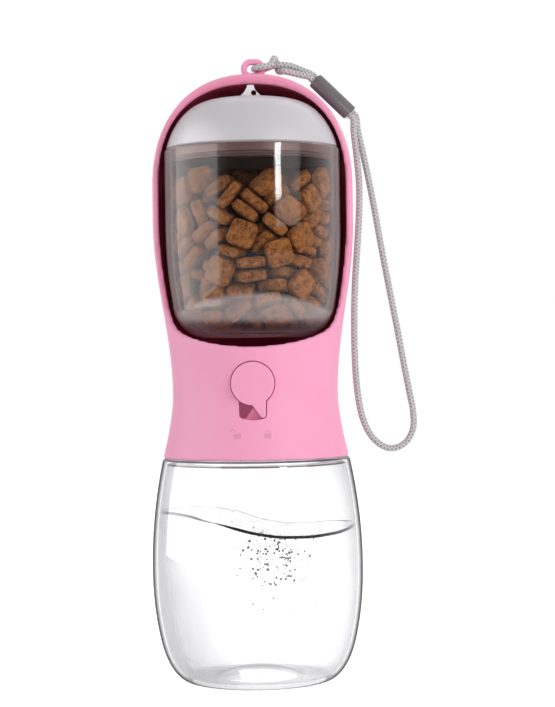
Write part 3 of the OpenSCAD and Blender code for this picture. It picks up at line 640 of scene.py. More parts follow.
def finish_of(name):
    """The material of that name, made when it is first asked for."""
    if name not in MATERIALS:
        c = colours()
        MATERIALS[name] = {
            "pink": lambda: moulded("pink_plastic", c.pink, 0.46, shine=PINK_SHINE),
            "shell": lambda: moulded("pink_shell", c.pink, 0.46, shine=PINK_SHINE,
                                     # The shell is painted a deep pink as shade inside the trough and the dome, and a
                                     # little on the rim's face.
                                     second=(c.pink_painted_shade, lambda paint: paint.noted("inside"))),
            # The lid's plug is painted a dark brown as shade inside the cup's top.
            "lid": lambda: moulded("lid_plastic", c.lid, 0.38, second=(linear(128, 102, 97), painted_shade_on_plug)),
            "white": lambda: moulded("white_plastic", c.white, 0.4),
            "slider": lambda: moulded("slider_plastic", c.slider, 0.45, 1800.0, 0.03),
            # The cup's foot carries a painted reflection, a pale arc.
            "cup": lambda: clear("clear_cup", linear(214, 204, 203), tuple(c.smoke), 1.25, 3.2, 0.04, 0.45, painted_reflection=0.3),
            "cup_inner": lambda: clear("clear_cup_inside", linear(200, 188, 186), tuple(c.smoke), 0.9, 4.5, 0.04, 0.2),
            "bottle": lambda: clear("clear_bottle", linear(186, 184, 189), (0.985, 0.985, 0.988), 0.5, 3.0, 0.03,
                                    outline=(linear(40, 33, 36), 0.7, 0.85)),
            # The inside of the bottle is painted grey at left and below as shade.
            "bottle_inner": lambda: clear("clear_bottle_inside", linear(176, 174, 178), (0.985, 0.985, 0.988), 0.75,
                                          2.8, 0.03, 0.3, painted_side_shade=0.32),
            # Dark bands painted as shade where the bottle's shoulder meets the pink body.
            "bottle_line": lambda: clear("bottle_line", linear(56, 48, 52), (0.5, 0.49, 0.5), 0.9, 0.1, 0.1, 0.1),
            "water": lambda: clear("water", linear(205, 210, 213), (0.992, 0.995, 0.997), 0.35, 5.0, 0.02),
            "bubble": lambda: clear("bubble", linear(28, 26, 28), (0.5, 0.5, 0.5), 1.3, 0.7, 0.1, 0.3),
            "meniscus": lambda: clear("meniscus", linear(30, 25, 27), (0.16, 0.15, 0.16), 1.0, 1.0, 0.05, 0.3),
            "far_edge": lambda: clear("far_edge", linear(150, 148, 150), (0.86, 0.86, 0.87), 1.0, 1.4, 0.05),
            "mark": lambda: moulded("pressed_mark", tint(c.pink, 0.84), 0.5, shine=PINK_SHINE),
            "cord": lambda: braid("cord_braid", c.cord),
            "silicone": lambda: silicone("seal_silicone", (212, 212, 214), (230, 230, 232)),
            # The lid's seal is painted dark as shade, where it sits inside the cup's top.
            "silicone_painted_shade": lambda: silicone("smoky_seal", (88, 72, 70), (104, 86, 84)),
            "steel": lambda: steel("bright_steel"),
            "biscuit": lambda: crust("biscuit_crust", c.biscuit, c.biscuit_dark),
        }[name]()
    return MATERIALS[name]


# --- stage ---


CENTRE = (0, 0, 0.12)
AMBIENT = 0.58
FLOOR_R, FLOOR_GLOW = 2.5, 0.5
LAMPS = (  # name, place, where it aims, size, power, whether it is seen only in gloss
    ("key", (0.85, -0.75, 0.6), CENTRE, (0.8, 0.8), 6.4, False),
    ("fill", (-0.8, -0.7, 0.35), CENTRE, (0.7, 0.9), 0.8, False),
    ("back", (0.2, 0.9, 0.8), CENTRE, (0.9, 0.6), 3.0, False),
    ("side_panel", (-0.62, -0.12, 0.2), (0, 0, 0.16), (0.9, 1.1), 15.0, True),
    ("strip", (0.42, -0.6, 0.31), (0, 0, 0.18), (0.095, 0.17), 1.8, True),
)


def area_light(name, at, toward, size, power, glossy_only):
    light = bpy.data.lights.new(name, "AREA")
    light.shape, light.size, light.size_y, light.energy = "RECTANGLE", size[0], size[1], power
    obj = bpy.data.objects.new(name, light)
    bpy.context.scene.collection.objects.link(obj)
    obj.location = at
    obj.rotation_euler = (Vector(toward) - Vector(at)).to_track_quat("-Z", "Y").to_euler()
    obj.visible_camera, obj.visible_diffuse = False, not glossy_only


def surroundings():
    """A white backdrop. Gloss shows it behind the object, and a dim studio on the camera's side."""
    world = bpy.data.worlds.new("surroundings")
    paint = Paint(world)
    shown = paint.node("ShaderNodeMath", {"operation": "MAXIMUM"}, [paint.ray("Camera"), paint.ray("Transmission")])
    strength = paint.node("ShaderNodeMapRange", {}, {"Value": shown, "To Min": AMBIENT, "To Max": 1.0})
    (back,) = paint.axes("Y", paint.coords("Generated"))
    studio = paint.node("ShaderNodeMapRange", {}, {
        "Value": back, "From Min": -0.35, "From Max": 0.1, "To Min": 0.16, "To Max": 1.0,
    })
    either = paint.node("ShaderNodeMix", {}, {"Factor": paint.ray("Glossy"), "A": strength, "B": studio})
    return paint.done(paint.node("ShaderNodeBackground", {}, {"Color": (1, 1, 1, 1), "Strength": either}), "World")


def pale_floor():
    """A pale floor that glows a little in whatever looks straight at it."""
    paint = Paint("pale_floor")
    base = paint.blend(paint.noise(6.0), (0.93, 0.93, 0.93), (0.96, 0.96, 0.96))
    pale = paint.principled(Base_Color=base, Roughness=0.9)
    glow = paint.node("ShaderNodeEmission", {}, {"Color": (1, 1, 1, 1), "Strength": FLOOR_GLOW})
    lit = paint.node("ShaderNodeAddShader", {}, [glow, pale])
    looked_at = (paint.ray("Camera") + paint.ray("Glossy") + paint.ray("Transmission")).clamped()
    return paint.done(paint.mixed(looked_at, pale, lit))


class BOTTLE_OT_stage(bpy.types.Operator):
    """Sets up the camera, the white surroundings, the lamps and the floor"""

    bl_idname = "bottle.stage"
    bl_label = "Stage"

    def execute(self, context):
        scene = context.scene
        scene.view_settings.view_transform = "Standard"
        scene.cycles.transparent_max_bounces = 32
        camera = bpy.data.cameras.new("camera")
        camera.sensor_fit, camera.sensor_height = "VERTICAL", SENSOR_H
        camera.lens = SENSOR_H * FOCAL_PX / IMAGE_H
        view = bpy.data.objects.new("camera", camera)
        scene.collection.objects.link(view)
        view.location = Matrix.Rotation(VIEW_TURN, 3, "Z") @ Vector((VIEW_X, -VIEW_DISTANCE, VIEW_Z))
        view.rotation_euler = (math.pi / 2, VIEW_ROLL, VIEW_TURN)
        scene.camera = view
        scene.world = surroundings()
        for lamp in LAMPS:
            area_light(*lamp)
        floor = bmesh.new()
        bmesh.ops.create_circle(floor, cap_ends=True, segments=64, radius=FLOOR_R)
        floor = to_object("floor", floor)
        floor.data.materials.append(pale_floor())
        return {"FINISHED"}


# --- lanyard ---


def smooth_route(points, spacing):
    """A smooth curve through the route's points, sampled evenly, in metres."""
    knots = [Vector(p) * MM for p in points]
    knots = [2 * knots[0] - knots[1]] + knots + [2 * knots[-1] - knots[-2]]
    fine = []
    for a, b, c, d in zip(knots, knots[1:], knots[2:], knots[3:]):
        for t in (i / 24 for i in range(24)):
            fine.append(0.5 * (2 * b + (c - a) * t + (2 * a - 5 * b + 4 * c - d) * t**2
                               + (3 * b - a - 3 * c + d) * t**3))
    fine.append(knots[-2])
    length = [0.0]
    for a, b in zip(fine, fine[1:]):
        length.append(length[-1] + (b - a).length)
    count = max(int(length[-1] / spacing), 2)
    evenly, k = [], 0
    for wanted in steps(0, length[-1], count):
        while k < len(fine) - 2 and length[k + 1] < wanted:
            k += 1
        span = max(length[k + 1] - length[k], 1e-9)
        evenly.append(fine[k].lerp(fine[k + 1], (wanted - length[k]) / span))
    return evenly, length[-1]


def cord_tube(route, radius, sides=14):
    """A tube along a route, with a UV map that counts turns round it and metres along it."""
    bm = bmesh.new()
    uv = bm.loops.layers.uv.new("UVMap")
    spoke = Vector((0, 1, 0))
    rings, travelled, place_on = [], [], 0.0
    for i, point in enumerate(route):
        heading = (route[min(i + 1, len(route) - 1)] - route[max(i - 1, 0)]).normalized()
        spoke = (spoke - spoke.dot(heading) * heading).normalized()
        other = heading.cross(spoke)
        thick = radius[i] if isinstance(radius, list) else radius
        rings.append([bm.verts.new(point + thick * (math.cos(a) * spoke + math.sin(a) * other))
                      for a in (TURN * k / sides for k in range(sides))])
        place_on += (point - route[i - 1]).length if i else 0
        travelled.append(place_on)
    for i in range(len(rings) - 1):
        for k in range(sides):
            n = (k + 1) % sides
            face = bm.faces.new((rings[i][k], rings[i][n], rings[i + 1][n], rings[i + 1][k]))
            corners = [(k, i), (k + 1, i), (k + 1, i + 1), (k, i + 1)]
            for loop, (turn, row) in zip(face.loops, corners):
                loop[uv].uv = (turn / sides, travelled[row])
    for ring in (rings[0], rings[-1]):
        bm.faces.new(ring)
    return outward(bm)


def make_cord(name, points, node):
    route, length = smooth_route(points, CORD_STEP * MM)
    cord = to_object(name, cord_tube(route, CORD_R * MM))
    place(cord, "body", "cord", finish_of("cord"), node)


def slider_shape():
    """The slider's flat grip, standing up at the origin, with soft edges round both ends."""
    outline = []
    for side, start in ((1, 0), (-1, math.pi)):
        for a in steps(start, start + math.pi, 16):
            outline.append((SLIDER_R * math.cos(a), side * SLIDER_HALF + SLIDER_R * math.sin(a)))
    bm = bmesh.new()
    hull = [bm.verts.new((x * MM, y * MM, -SLIDER_L / 2 * MM)) for x, y in outline]
    bmesh.ops.convex_hull(bm, input=hull)
    bmesh.ops.dissolve_limit(bm, angle_limit=0.01, verts=bm.verts, edges=bm.edges)
    pushed(bm, bm.faces[:][0], (0, 0, SLIDER_L * MM))
    outward(bm)
    bevel(bm, [e for e in bm.edges if abs(e.verts[0].co.z - e.verts[1].co.z) < TINY], 0.7)
    return bm


class BOTTLE_OT_lanyard(bpy.types.Operator):
    """Makes the braided hitch and wrist loop, and the slider that grips them"""

    bl_idname = "bottle.lanyard"
    bl_label = "Lanyard"

    def execute(self, context):
        slider = to_object("cord_grip", slider_shape())
        for side in (-1, 1):
            for end in (-1, 1):
                at = (0, side * SLIDER_HALF, end * SLIDER_L / 2)
                combine(slider, rod(CORD_R + 0.05, 2 * SOCKET_L, at, segments=32))
        turned = Matrix.Translation(Vector(SLIDER_AT) * MM) @ Matrix.Rotation(SLIDER_TILT, 4, "Y")
        slider.data.transform(turned @ Matrix.Rotation(SLIDER_ROLL, 4, "Z"))
        place(slider, "body", "slider_plastic", finish_of("slider"), "cord_slider")
        make_cord("wrist_loop", LOOP_ROUTE, "lanyard_loop")
        make_cord("eyelet_hitch", HITCH_ROUTE, "lanyard_hitch")
        return {"FINISHED"}


# --- pink body ---


def shell_outside():
    low = [(SEAM_R - 0.5, SEAM_Z), (SEAM_R - 0.1, SEAM_Z + 0.15), (body_r(SEAM_Z + 0.6), SEAM_Z + 0.6)]
    sides = [(body_r(z), z) for z in steps(SEAM_Z + 1.6, DOME_Z, 70)]
    top = dome_profile(DOME_Z, BELLY_R, DOME_H, DOME_POWER)
    return [(0, SEAM_Z)] + low + sides + top + [(0, TOP_Z)]


def shell_inside(grow=0.0):
    corner = 3.0
    floor = [(0, FLOOR_Z)] + [
        (body_r(FLOOR_Z) - WALL + grow - corner * (1 - math.sin(a)), FLOOR_Z + corner * (1 - math.cos(a)))
        for a in steps(0, math.pi / 2, 6)
    ]
    sides = [(body_r(z) - WALL + grow, z) for z in steps(FLOOR_Z + corner + 1, DOME_Z, 50)]
    top = dome_profile(DOME_Z, BELLY_R - WALL + grow, DOME_H - CROWN + grow, CAVITY_POWER)
    return floor + sides + top + [(0, TOP_Z - CROWN + grow)]


def opening_outline(y_shift=0.0):
    """Side view of what is cut away in front of the rim, sweep and lip."""
    front = BELLY_R + 3
    sweep = [(RIM_Y + SWEEP_R * (1 - math.cos(a)), SWEEP_Z - SWEEP_R * math.sin(a))
             for a in steps(0, math.pi / 2 - LIP_SLOPE, 18)]
    lip_z = sweep[-1][1] - (front - sweep[-1][0]) * math.tan(LIP_SLOPE)
    points = [(RIM_Y, TOP_Z + 3)] + sweep + [(front, lip_z), (front, TOP_Z + 3)]
    return [(-y + y_shift, z) for y, z in points]


def knob_face_y():
    return -(body_r(KNOB_Z) + KNOB_PROUD)


def knob_outline(angle, gap):
    """The button's disc and tail, seen from the front and turned by an angle about its centre."""
    r = KNOB_R + gap
    root = math.asin((TAIL_ROOT_W + gap) / r)
    points = [(r * math.sin(a), -r * math.cos(a)) for a in steps(root, TURN - root, 60)]
    tip = TAIL_TIP_R + gap
    points += [(tip * math.sin(a), -TAIL_TIP_AT - tip * math.cos(a)) for a in steps(-1.3, 1.3, 8)]
    c, s = math.cos(angle), math.sin(angle)
    return [(x * c - z * s, x * s + z * c) for x, z in points]


def knob_recess():
    """Deep pockets at both places of the tail, and the shallow land that it swings over."""
    back = knob_face_y() + KNOB_T
    well_y = back + PRESS + UNDER_GAP
    front = -BELLY_R
    recess = to_object("recess", prism(knob_outline(HALF_TURN, KNOB_GAP), front, well_y, KNOB_Z))
    combine(recess, prism(knob_outline(-HALF_TURN, KNOB_GAP), front, well_y, KNOB_Z), "UNION")
    reach = TAIL_REACH + KNOB_GAP
    land = [(0, 0)] + [(reach * math.sin(a), -reach * math.cos(a)) for a in steps(-HALF_TURN, HALF_TURN, 12)]
    combine(recess, prism(land, front, back + UNDER_GAP, KNOB_Z), "UNION")
    combine(recess, prism(disc_outline(0, 0, GLAND_R), well_y - 1, -BLOCK_FLAT_Y + 1, KNOB_Z), "UNION")
    return recess


def eyelet_outline(grow):
    """The eyelet's hole, or its outside when it is grown, round at both ends."""
    half_h = EYE_HALF_H + grow
    straight = EYE_HALF_W + grow - half_h
    return [(side * (straight + half_h * math.cos(a)) + EYE_X, half_h * math.sin(a))
            for side in (1, -1) for a in steps(-side * math.pi / 2, side * math.pi / 2, 20)]


def eyelet():
    ring = to_object("eyelet", prism(eyelet_outline(EYE_BAND), -EYE_T / 2, EYE_T / 2, EYE_Z))
    combine(ring, prism(eyelet_outline(0), -EYE_T, EYE_T, EYE_Z))
    rounding = ring.modifiers.new("rounding", "BEVEL")
    rounding.width, rounding.segments, rounding.angle_limit = 0.7 * MM, 3, math.radians(50)
    settle(ring)
    return ring


def padlock(x, z, open_it):
    """A small padlock of generic shape, as XZ outlines of its body and its shackle."""
    body = [(-1.25, -1.2), (1.25, -1.2), (1.25, 0.7), (-1.25, 0.7)]
    lift, lean = (0.5, -1.6) if open_it else (0.0, 0.0)
    outer = [(0.95 * math.cos(a) + lean, 0.7 + lift + 1.25 * math.sin(a)) for a in steps(0, math.pi, 10)]
    inner = [(0.55 * math.cos(a) + lean, 0.7 + lift + 0.85 * math.sin(a)) for a in steps(math.pi, 0, 10)]
    return [[(px + x, pz + z) for px, pz in part] for part in (body, outer + inner)]


def wrapped(outlines, proud, sink):
    """Thin raised marks laid on the body's curved front."""
    bm = bmesh.new()
    for outline in outlines:
        verts = [bm.verts.new((x * MM, 0, z * MM)) for x, z in outline]
        top = set(pushed(bm, bm.faces.new(verts), (0, 0, 0)))
        for v in top | set(verts):
            x, z = v.co.x / MM, v.co.z / MM
            y = -math.sqrt(body_r(z) ** 2 - x**2) - (proud if v in top else -sink)
            v.co.y = y * MM
    bmesh.ops.triangulate(bm, faces=bm.faces)
    return outward(bm)


def mark_painted_shade_inside(mesh):
    """Notes for each vertex how much painted shade it takes inside the trough and the dome, from 0 on the skin to 1,
    with a lighter painted shade on the rim's face.
    """
    values = []
    for v in mesh.vertices:
        x, y, z = (c / MM for c in v.co)
        high = max(z - DOME_Z, 0) / DOME_H
        depth = 1 - (math.hypot(x, y) / body_r(min(z, DOME_Z))) ** DOME_POWER - min(high, 1) ** DOME_POWER
        under_skin = min(max((depth - 0.05) / 0.05, 0), 1)
        behind_rim = min(max((y + RIM_Y - 0.6) / 2.5, 0), 1)
        on_rim = RIM_SHADE * min(max(depth / 0.1, 0), 1) * (abs(y + RIM_Y) < 0.4)
        values.append(max(under_skin * behind_rim, on_rim))
    mesh.attributes.new("inside", "FLOAT", "POINT").data.foreach_set("value", values)


class BOTTLE_OT_shell(bpy.types.Operator):
    """Makes the pink body: domed back, open trough, flared skirt, eyelet and the button's recess"""

    bl_idname = "bottle.shell"
    bl_label = "Pink body"

    def execute(self, context):
        soft = sizes().rim_softness / MM
        shell = to_object("pink_body", spun(shell_outside()))
        combine(shell, spun(shell_inside()))
        combine(shell, across(opening_outline(), BELLY_R + 2))
        flare = to_object("flare", spun(shell_inside(soft)))
        combine(flare, across(opening_outline(soft), BELLY_R + 2), "INTERSECT")
        combine(shell, taken_apart(flare))
        remesh = shell.modifiers.new("remesh", "REMESH")
        remesh.mode, remesh.voxel_size = "VOXEL", VOXEL * MM
        smooth = shell.modifiers.new("smooth", "SMOOTH")
        smooth.factor, smooth.iterations = 0.5, 4
        settle(shell)

        combine(shell, taken_apart(eyelet()), "UNION")
        combine(shell, spun([(0, SEAM_Z - 2), (COLLAR_R, SEAM_Z - 2), (COLLAR_R, BLOCK_Z), (0, BLOCK_Z)]))
        block_hole = spun([(0, BLOCK_Z - 1), (BLOCK_R, BLOCK_Z - 1), (BLOCK_R, BLOCK_TOP_Z), (0, BLOCK_TOP_Z)])
        bmesh.ops.bisect_plane(
            block_hole, geom=block_hole.verts[:] + block_hole.edges[:] + block_hole.faces[:],
            plane_co=(0, -BLOCK_FLAT_Y * MM, 0), plane_no=(0, -1, 0), clear_outer=True,
        )
        bmesh.ops.holes_fill(block_hole, edges=block_hole.edges)
        combine(shell, outward(block_hole))
        combine(shell, taken_apart(knob_recess()))
        combine(shell, rod(OUTLET_R, 8, (0, OUTLET_Y, FLOOR_Z - 1.4)))
        mark_painted_shade_inside(shell.data)
        place(shell, "body", "pink_plastic", finish_of("shell"), "body_shell")

        marks = wrapped(padlock(*OPEN_LOCK_AT, True) + padlock(*SHUT_LOCK_AT, False), 0.04, 0.1)
        place(to_object("padlock_marks", marks), "body", "pink_plastic", finish_of("mark"))
        return {"FINISHED"}


class BOTTLE_OT_knob(bpy.types.Operator):
    """Makes the round button with its pointing tail"""

    bl_idname = "bottle.knob"
    bl_label = "Button"

    def execute(self, context):
        face = knob_face_y()
        bm = prism(knob_outline(HALF_TURN, 0), face, face + KNOB_T, KNOB_Z)
        front = [e for e in bm.edges if all(abs(v.co.y - face * MM) < TINY for v in e.verts)]
        bevel(bm, front, 0.45, 4)
        knob = to_object("button", bm)
        combine(knob, prism(disc_outline(0, 0, STEM_R + 0.05), face + KNOB_T - 2.2, face + KNOB_T + 1, KNOB_Z))
        combine(knob, prism(disc_outline(0, 0, CLIP_R), face + KNOB_T - 1.9, face + KNOB_T - 0.9, KNOB_Z))
        place(knob, "knob", "pink_plastic", finish_of("pink"), "lock_knob")
        return {"FINISHED"}


# --- cup and lid ---


def line_inside(obj, wall_r, *materials, seam_shade_z=()):
    """Gives the faces that look into a clear piece a finish of their own, and the bands painted dark as shade at its
    shoulder seam another.
    """
    for material in materials:
        obj.data.materials.append(material)
    for face in obj.data.polygons:
        x, y, z = (c / MM for c in face.center)
        if math.hypot(x, y) < wall_r(z) and face.normal.dot((x, y, 0)) <= 0:
            face.material_index = 1
        # Faces at the given heights are painted dark as seam shade.
        if any(low < z < high for low, high in seam_shade_z) and math.hypot(x, y) > NECK_R + 4:
            face.material_index = 2


def cup_wall(shrink, top):
    low_z = CUP_Z + CUP_CORNER_R
    corner_r = CUP_CORNER_R - shrink
    corner = [(CUP_LOW_R - CUP_CORNER_R + corner_r * math.sin(a), low_z - corner_r * math.cos(a))
              for a in steps(0, math.pi / 2, 14)]
    sides = [(cup_out(z) - shrink, z) for z in steps(low_z + 1, CUP_STRAIGHT_Z, 16)]
    return [(0, CUP_Z + shrink)] + corner + sides + [(CUP_R - shrink, top)]


class BOTTLE_OT_cup(bpy.types.Operator):
    """Makes the clear food cup"""

    bl_idname = "bottle.cup"
    bl_label = "Food cup"

    def execute(self, context):
        lip = 0.5
        outside = cup_wall(0, CUP_TOP_Z - lip)
        inside = cup_wall(CUP_WALL, CUP_TOP_Z - lip)
        rim = [(CUP_R - lip, CUP_TOP_Z), (CUP_R - CUP_WALL + lip, CUP_TOP_Z)]
        bm = spun(outside + rim + inside[::-1])
        cup = place(to_object("cup", bm), "cup", "clear_cup", finish_of("cup"), "food_cup")
        line_inside(cup, lambda z: cup_out(z) - CUP_WALL / 2, finish_of("cup_inner"))
        return {"FINISHED"}


def latch_outline():
    rise = DOME_Z + dome_rise(RIM_Y, BELLY_R - WALL, DOME_H - CROWN, CAVITY_POWER) - 0.4 - LATCH_PIN_Z
    w = LATCH_ROOT
    right = [(w, 0), (w, 0.36 * rise)] + [
        (LATCH_TIP + (w - LATCH_TIP) * (1 - t) ** 1.9, (0.36 + 0.64 * t) * rise) for t in steps(0.08, 1, 14)
    ]
    return right + [(-x, z) for x, z in right[::-1]]


class BOTTLE_OT_lid(bpy.types.Operator):
    """Makes the domed lid of the cup and the latch on it"""

    bl_idname = "bottle.lid"
    bl_label = "Lid and latch"

    def execute(self, context):
        edge, step = 0.45, 1.3
        powers = (LID_POWER, LID_RISE_POWER)
        outer = [(LID_R - edge, LID_Z), (LID_R, LID_Z + edge)]
        outer += dome_profile(LID_Z, LID_R, LID_H, *powers, above=2 * edge)
        inner = [(LID_R - LID_T, LID_Z + step)]
        inner += dome_profile(LID_Z, LID_R - LID_T, LID_H - LID_T, *powers, above=2 * step)
        plug_in = PLUG_R - PLUG_T
        groove_z = CUP_TOP_Z - PLUG_H + 1
        groove_r, half = PLUG_R - SEAL_GROOVE_D, SEAL_RING_R + 0.05
        plug = [(plug_in, LID_Z + step), (plug_in, CUP_TOP_Z - PLUG_H), (PLUG_R, CUP_TOP_Z - PLUG_H),
                (PLUG_R, groove_z - half), (groove_r, groove_z - half), (groove_r, groove_z + half),
                (PLUG_R, groove_z + half), (PLUG_R, LID_Z)]
        profile = outer + [(0, LID_Z + LID_H)]
        closing = [(0, LID_Z + LID_H - LID_T)] + inner[::-1] + plug
        lid = to_object("lid", spun(profile + closing, closed=True))
        pocket_w, pocket_l, pocket_z = LATCH_ROOT + 0.35, LATCH_POCKET_L, LATCH_PIN_Z - LATCH_HUB_R - 0.4
        wide, long = pocket_w + LATCH_BOSS, pocket_l + LATCH_BOSS
        boss = block((-wide, LATCH_Y - long, pocket_z - LATCH_BOSS), (wide, LATCH_Y + long, TOP_Z))
        boss = to_object("boss", boss)
        inside = [(0, LID_Z), (LID_R - 0.5, LID_Z)] + dome_profile(LID_Z, LID_R - 0.5, LID_H - 0.5, *powers)
        combine(boss, spun(inside + [(0, LID_Z + LID_H - 0.5)]), "INTERSECT")
        combine(lid, taken_apart(boss), "UNION")
        combine(lid, block((-pocket_w, LATCH_Y - pocket_l, pocket_z), (pocket_w, LATCH_Y + pocket_l, TOP_Z)))
        place(lid, "lid", "lid_plastic", finish_of("lid"), "cup_lid")

        half = LATCH_T / 2
        bm = prism(latch_outline(), LATCH_Y - half, LATCH_Y + half, LATCH_PIN_Z)
        bevel(bm, sharp_edges(bm, math.radians(60)), 0.3)
        latch = to_object("latch_tongue", bm)
        turn = Matrix.Rotation(math.pi / 2, 4, "Y")
        hub = rod(LATCH_HUB_R, 2 * LATCH_ROOT, (0, LATCH_Y, LATCH_PIN_Z), turn)
        combine(latch, hub, "UNION")
        combine(latch, prism(disc_outline(1.2, LID_Z + LID_H + 1.1, 1.0, 32), LATCH_Y - 3, LATCH_Y + 3))
        place(latch, "latch", "white_plastic", finish_of("white"), "lid_latch")
        return {"FINISHED"}


# --- food ---


def biscuit(width, thickness):
    """One biscuit: a flat, rounded square with soft edges, of a few dozen faces."""
    bm = bmesh.new()
    bmesh.ops.create_cube(bm, size=2)
    bmesh.ops.subdivide_edges(bm, edges=bm.edges, cuts=2, use_grid_fill=True)
    inner_ring, squareness, edge_in = 0.66, 3.4, 0.13
    for v in bm.verts:
        x, y, z = (math.copysign(inner_ring if abs(c) < 0.9 else 1, c) for c in v.co)
        widest = max(abs(x), abs(y))
        rounded = widest / (abs(x) ** squareness + abs(y) ** squareness) ** (1 / squareness)
        rounded *= 1 - edge_in * (abs(z) == 1)
        v.co = (x * rounded, y * rounded, z * (1 - 0.12 * (widest == 1)))
    bmesh.ops.scale(bm, verts=bm.verts, vec=(width / 2, width / 2, thickness / 2))
    return bm


def dented(co, seed, grow, squash):
    """Where a corner of the plain biscuit lies on one that has dents, another size and unequal sides."""
    dent = noise.noise(co / (3.5 * MM) + seed) * 0.28 + noise.noise(co / (1.4 * MM) + seed) * 0.14
    x, y, z = (co + co.normalized() * dent * MM) * grow
    return x * squash, y / squash, z


def cup_mould():
    """The inside of the cup, carried up as a chute for what falls into it."""
    inner = [(r - MOULD_GAP, z + MOULD_GAP) for r, z in cup_wall(CUP_WALL, CUP_TOP_Z)]
    inner[0] = (0, inner[0][1])
    return spun(inner + [(CUP_R - CUP_WALL - MOULD_GAP, CUP_TOP_Z + CHUTE_H)], count=48)


def in_order(name, bm, bend=None):
    """A mesh of a shape, its corners and faces sorted by place, and its corners bent.

    The mesh operators may list them in another order in each run, and a fall would end elsewhere."""
    corners = sorted(bm.verts, key=lambda v: tuple(v.co))
    number = {v: i for i, v in enumerate(corners)}
    faces = []
    for face in bm.faces:
        loop = [number[v] for v in face.verts]
        first = loop.index(min(loop))
        faces.append(loop[first:] + loop[:first])
    mesh = bpy.data.meshes.new(name)
    mesh.from_pydata([bend(v.co) if bend else v.co for v in corners], [], sorted(faces))
    return mesh


def let_fall(shapes, mould, rng):
    """Lets the shapes fall into the mould and gives where each comes to lie.

    The solver works on shapes a hundred times as large, since it is made for metres."""
    scene = bpy.context.scene
    big, moments = 100.0, 70
    falling = bpy.data.collections.new("falling")
    gravity, scene.gravity = tuple(scene.gravity), (0, 0, -40)
    bpy.ops.rigidbody.world_add()
    scene.rigidbody_world.collection = falling
    scene.rigidbody_world.substeps_per_frame, scene.rigidbody_world.solver_iterations = 10, 12
    solids = []
    for i, mesh in enumerate([mould, *shapes]):
        grown = mesh.copy()
        grown.transform(Matrix.Scale(big, 4))
        obj = bpy.data.objects.new("falling", grown)
        scene.collection.objects.link(obj)
        falling.objects.link(obj)
        body = obj.rigid_body
        body.type, body.collision_shape = ("ACTIVE", "CONVEX_HULL") if i else ("PASSIVE", "MESH")
        body.use_margin, body.collision_margin, body.friction = True, 0.02, 0.55
        body.linear_damping, body.angular_damping = 0.1, 0.3
        if i:
            a, r = rng.uniform(0, TURN), rng.uniform(0, HEAP_R * MM)
            obj.location = Vector((r * math.cos(a), r * math.sin(a), (CUP_Z + 10 + 1.15 * i) * MM)) * big
            obj.rotation_euler = rng.uniform(0, TURN, 3)
            solids.append(obj)
    for moment in range(1, moments + 1):
        scene.frame_set(moment)
    places = []
    for obj in solids:
        at = obj.matrix_world.copy()
        at.translation = at.translation / big
        places.append(at)
    for obj in falling.objects[:]:
        drop(obj)
    bpy.ops.rigidbody.world_remove()
    bpy.data.collections.remove(falling)
    scene.gravity = gravity
    scene.frame_set(1)
    return places


def mark_painted_heap_shade(mesh):
    """Notes for each vertex how deep it lies under the heap's outside, where little light comes, as the share of
    painted shade that it takes.
    """
    spots = np.array([v.co for v in mesh.vertices]) / MM
    wall = np.array([cup_out(z) for z in spots[:, 2]]) - CUP_WALL
    deep = np.minimum(wall - np.hypot(spots[:, 0], spots[:, 1]), np.percentile(spots[:, 2], 99) - spots[:, 2])
    mesh.attributes.new("painted_heap_shade", "FLOAT", "POINT").data.foreach_set("value", np.clip((deep - 2.5) / 7, 0, 1))


class BOTTLE_OT_food(bpy.types.Operator):
    """Fills the cup with dry biscuits that lie as they fell"""

    bl_idname = "bottle.food"
    bl_label = "Dry food"

    def execute(self, context):
        s = sizes()
        rng = np.random.default_rng(FOOD_SEED)
        one = biscuit(s.biscuit_w, s.biscuit_t)
        shapes = []
        for _ in range(s.biscuits):
            seed, grow = Vector(rng.uniform(-50, 50, 3)), rng.uniform(0.88, 1.1)
            squash = 1 + rng.normal(0, 0.05)
            shapes.append(in_order("biscuit", one, lambda co: dented(co, seed, grow, squash)))
        one.free()
        chute = cup_mould()
        mould = in_order("mould", chute)
        chute.free()
        food = bmesh.new()
        for mesh, at in zip(shapes, let_fall(shapes, mould, rng)):
            mesh.transform(at)
            food.from_mesh(mesh)
            bpy.data.meshes.remove(mesh)
        bpy.data.meshes.remove(mould)
        food = to_object("biscuits", food)
        mark_painted_heap_shade(food.data)
        place(food, "cup", None, finish_of("biscuit"))
        return {"FINISHED"}


# --- bottle and water ---


def foot_profile(shrink, count=12):
    low = [(0, PUNT_H + shrink)]
    low += [(r, PUNT_H * (1 - (r / (FOOT_R - FOOT_FLAT)) ** 2.4) + shrink)
            for r in steps(2, FOOT_R - FOOT_FLAT - 0.6, 14)]
    low.append((FOOT_R - FOOT_FLAT, shrink))
    end = foot_end()
    wide, high = (BOTTLE_LOW_R - FOOT_R - shrink) / math.sin(end), (LOW_SIDE_Z - shrink) / (1 - math.cos(end))
    return low + [(FOOT_R + wide * math.sin(a), shrink + high * (1 - math.cos(a))) for a in steps(0, end, count)[:-1]]


def bottle_side(shrink, top):
    return [(bottle_out(z) - shrink, z) for z in steps(LOW_SIDE_Z, top, 40)]


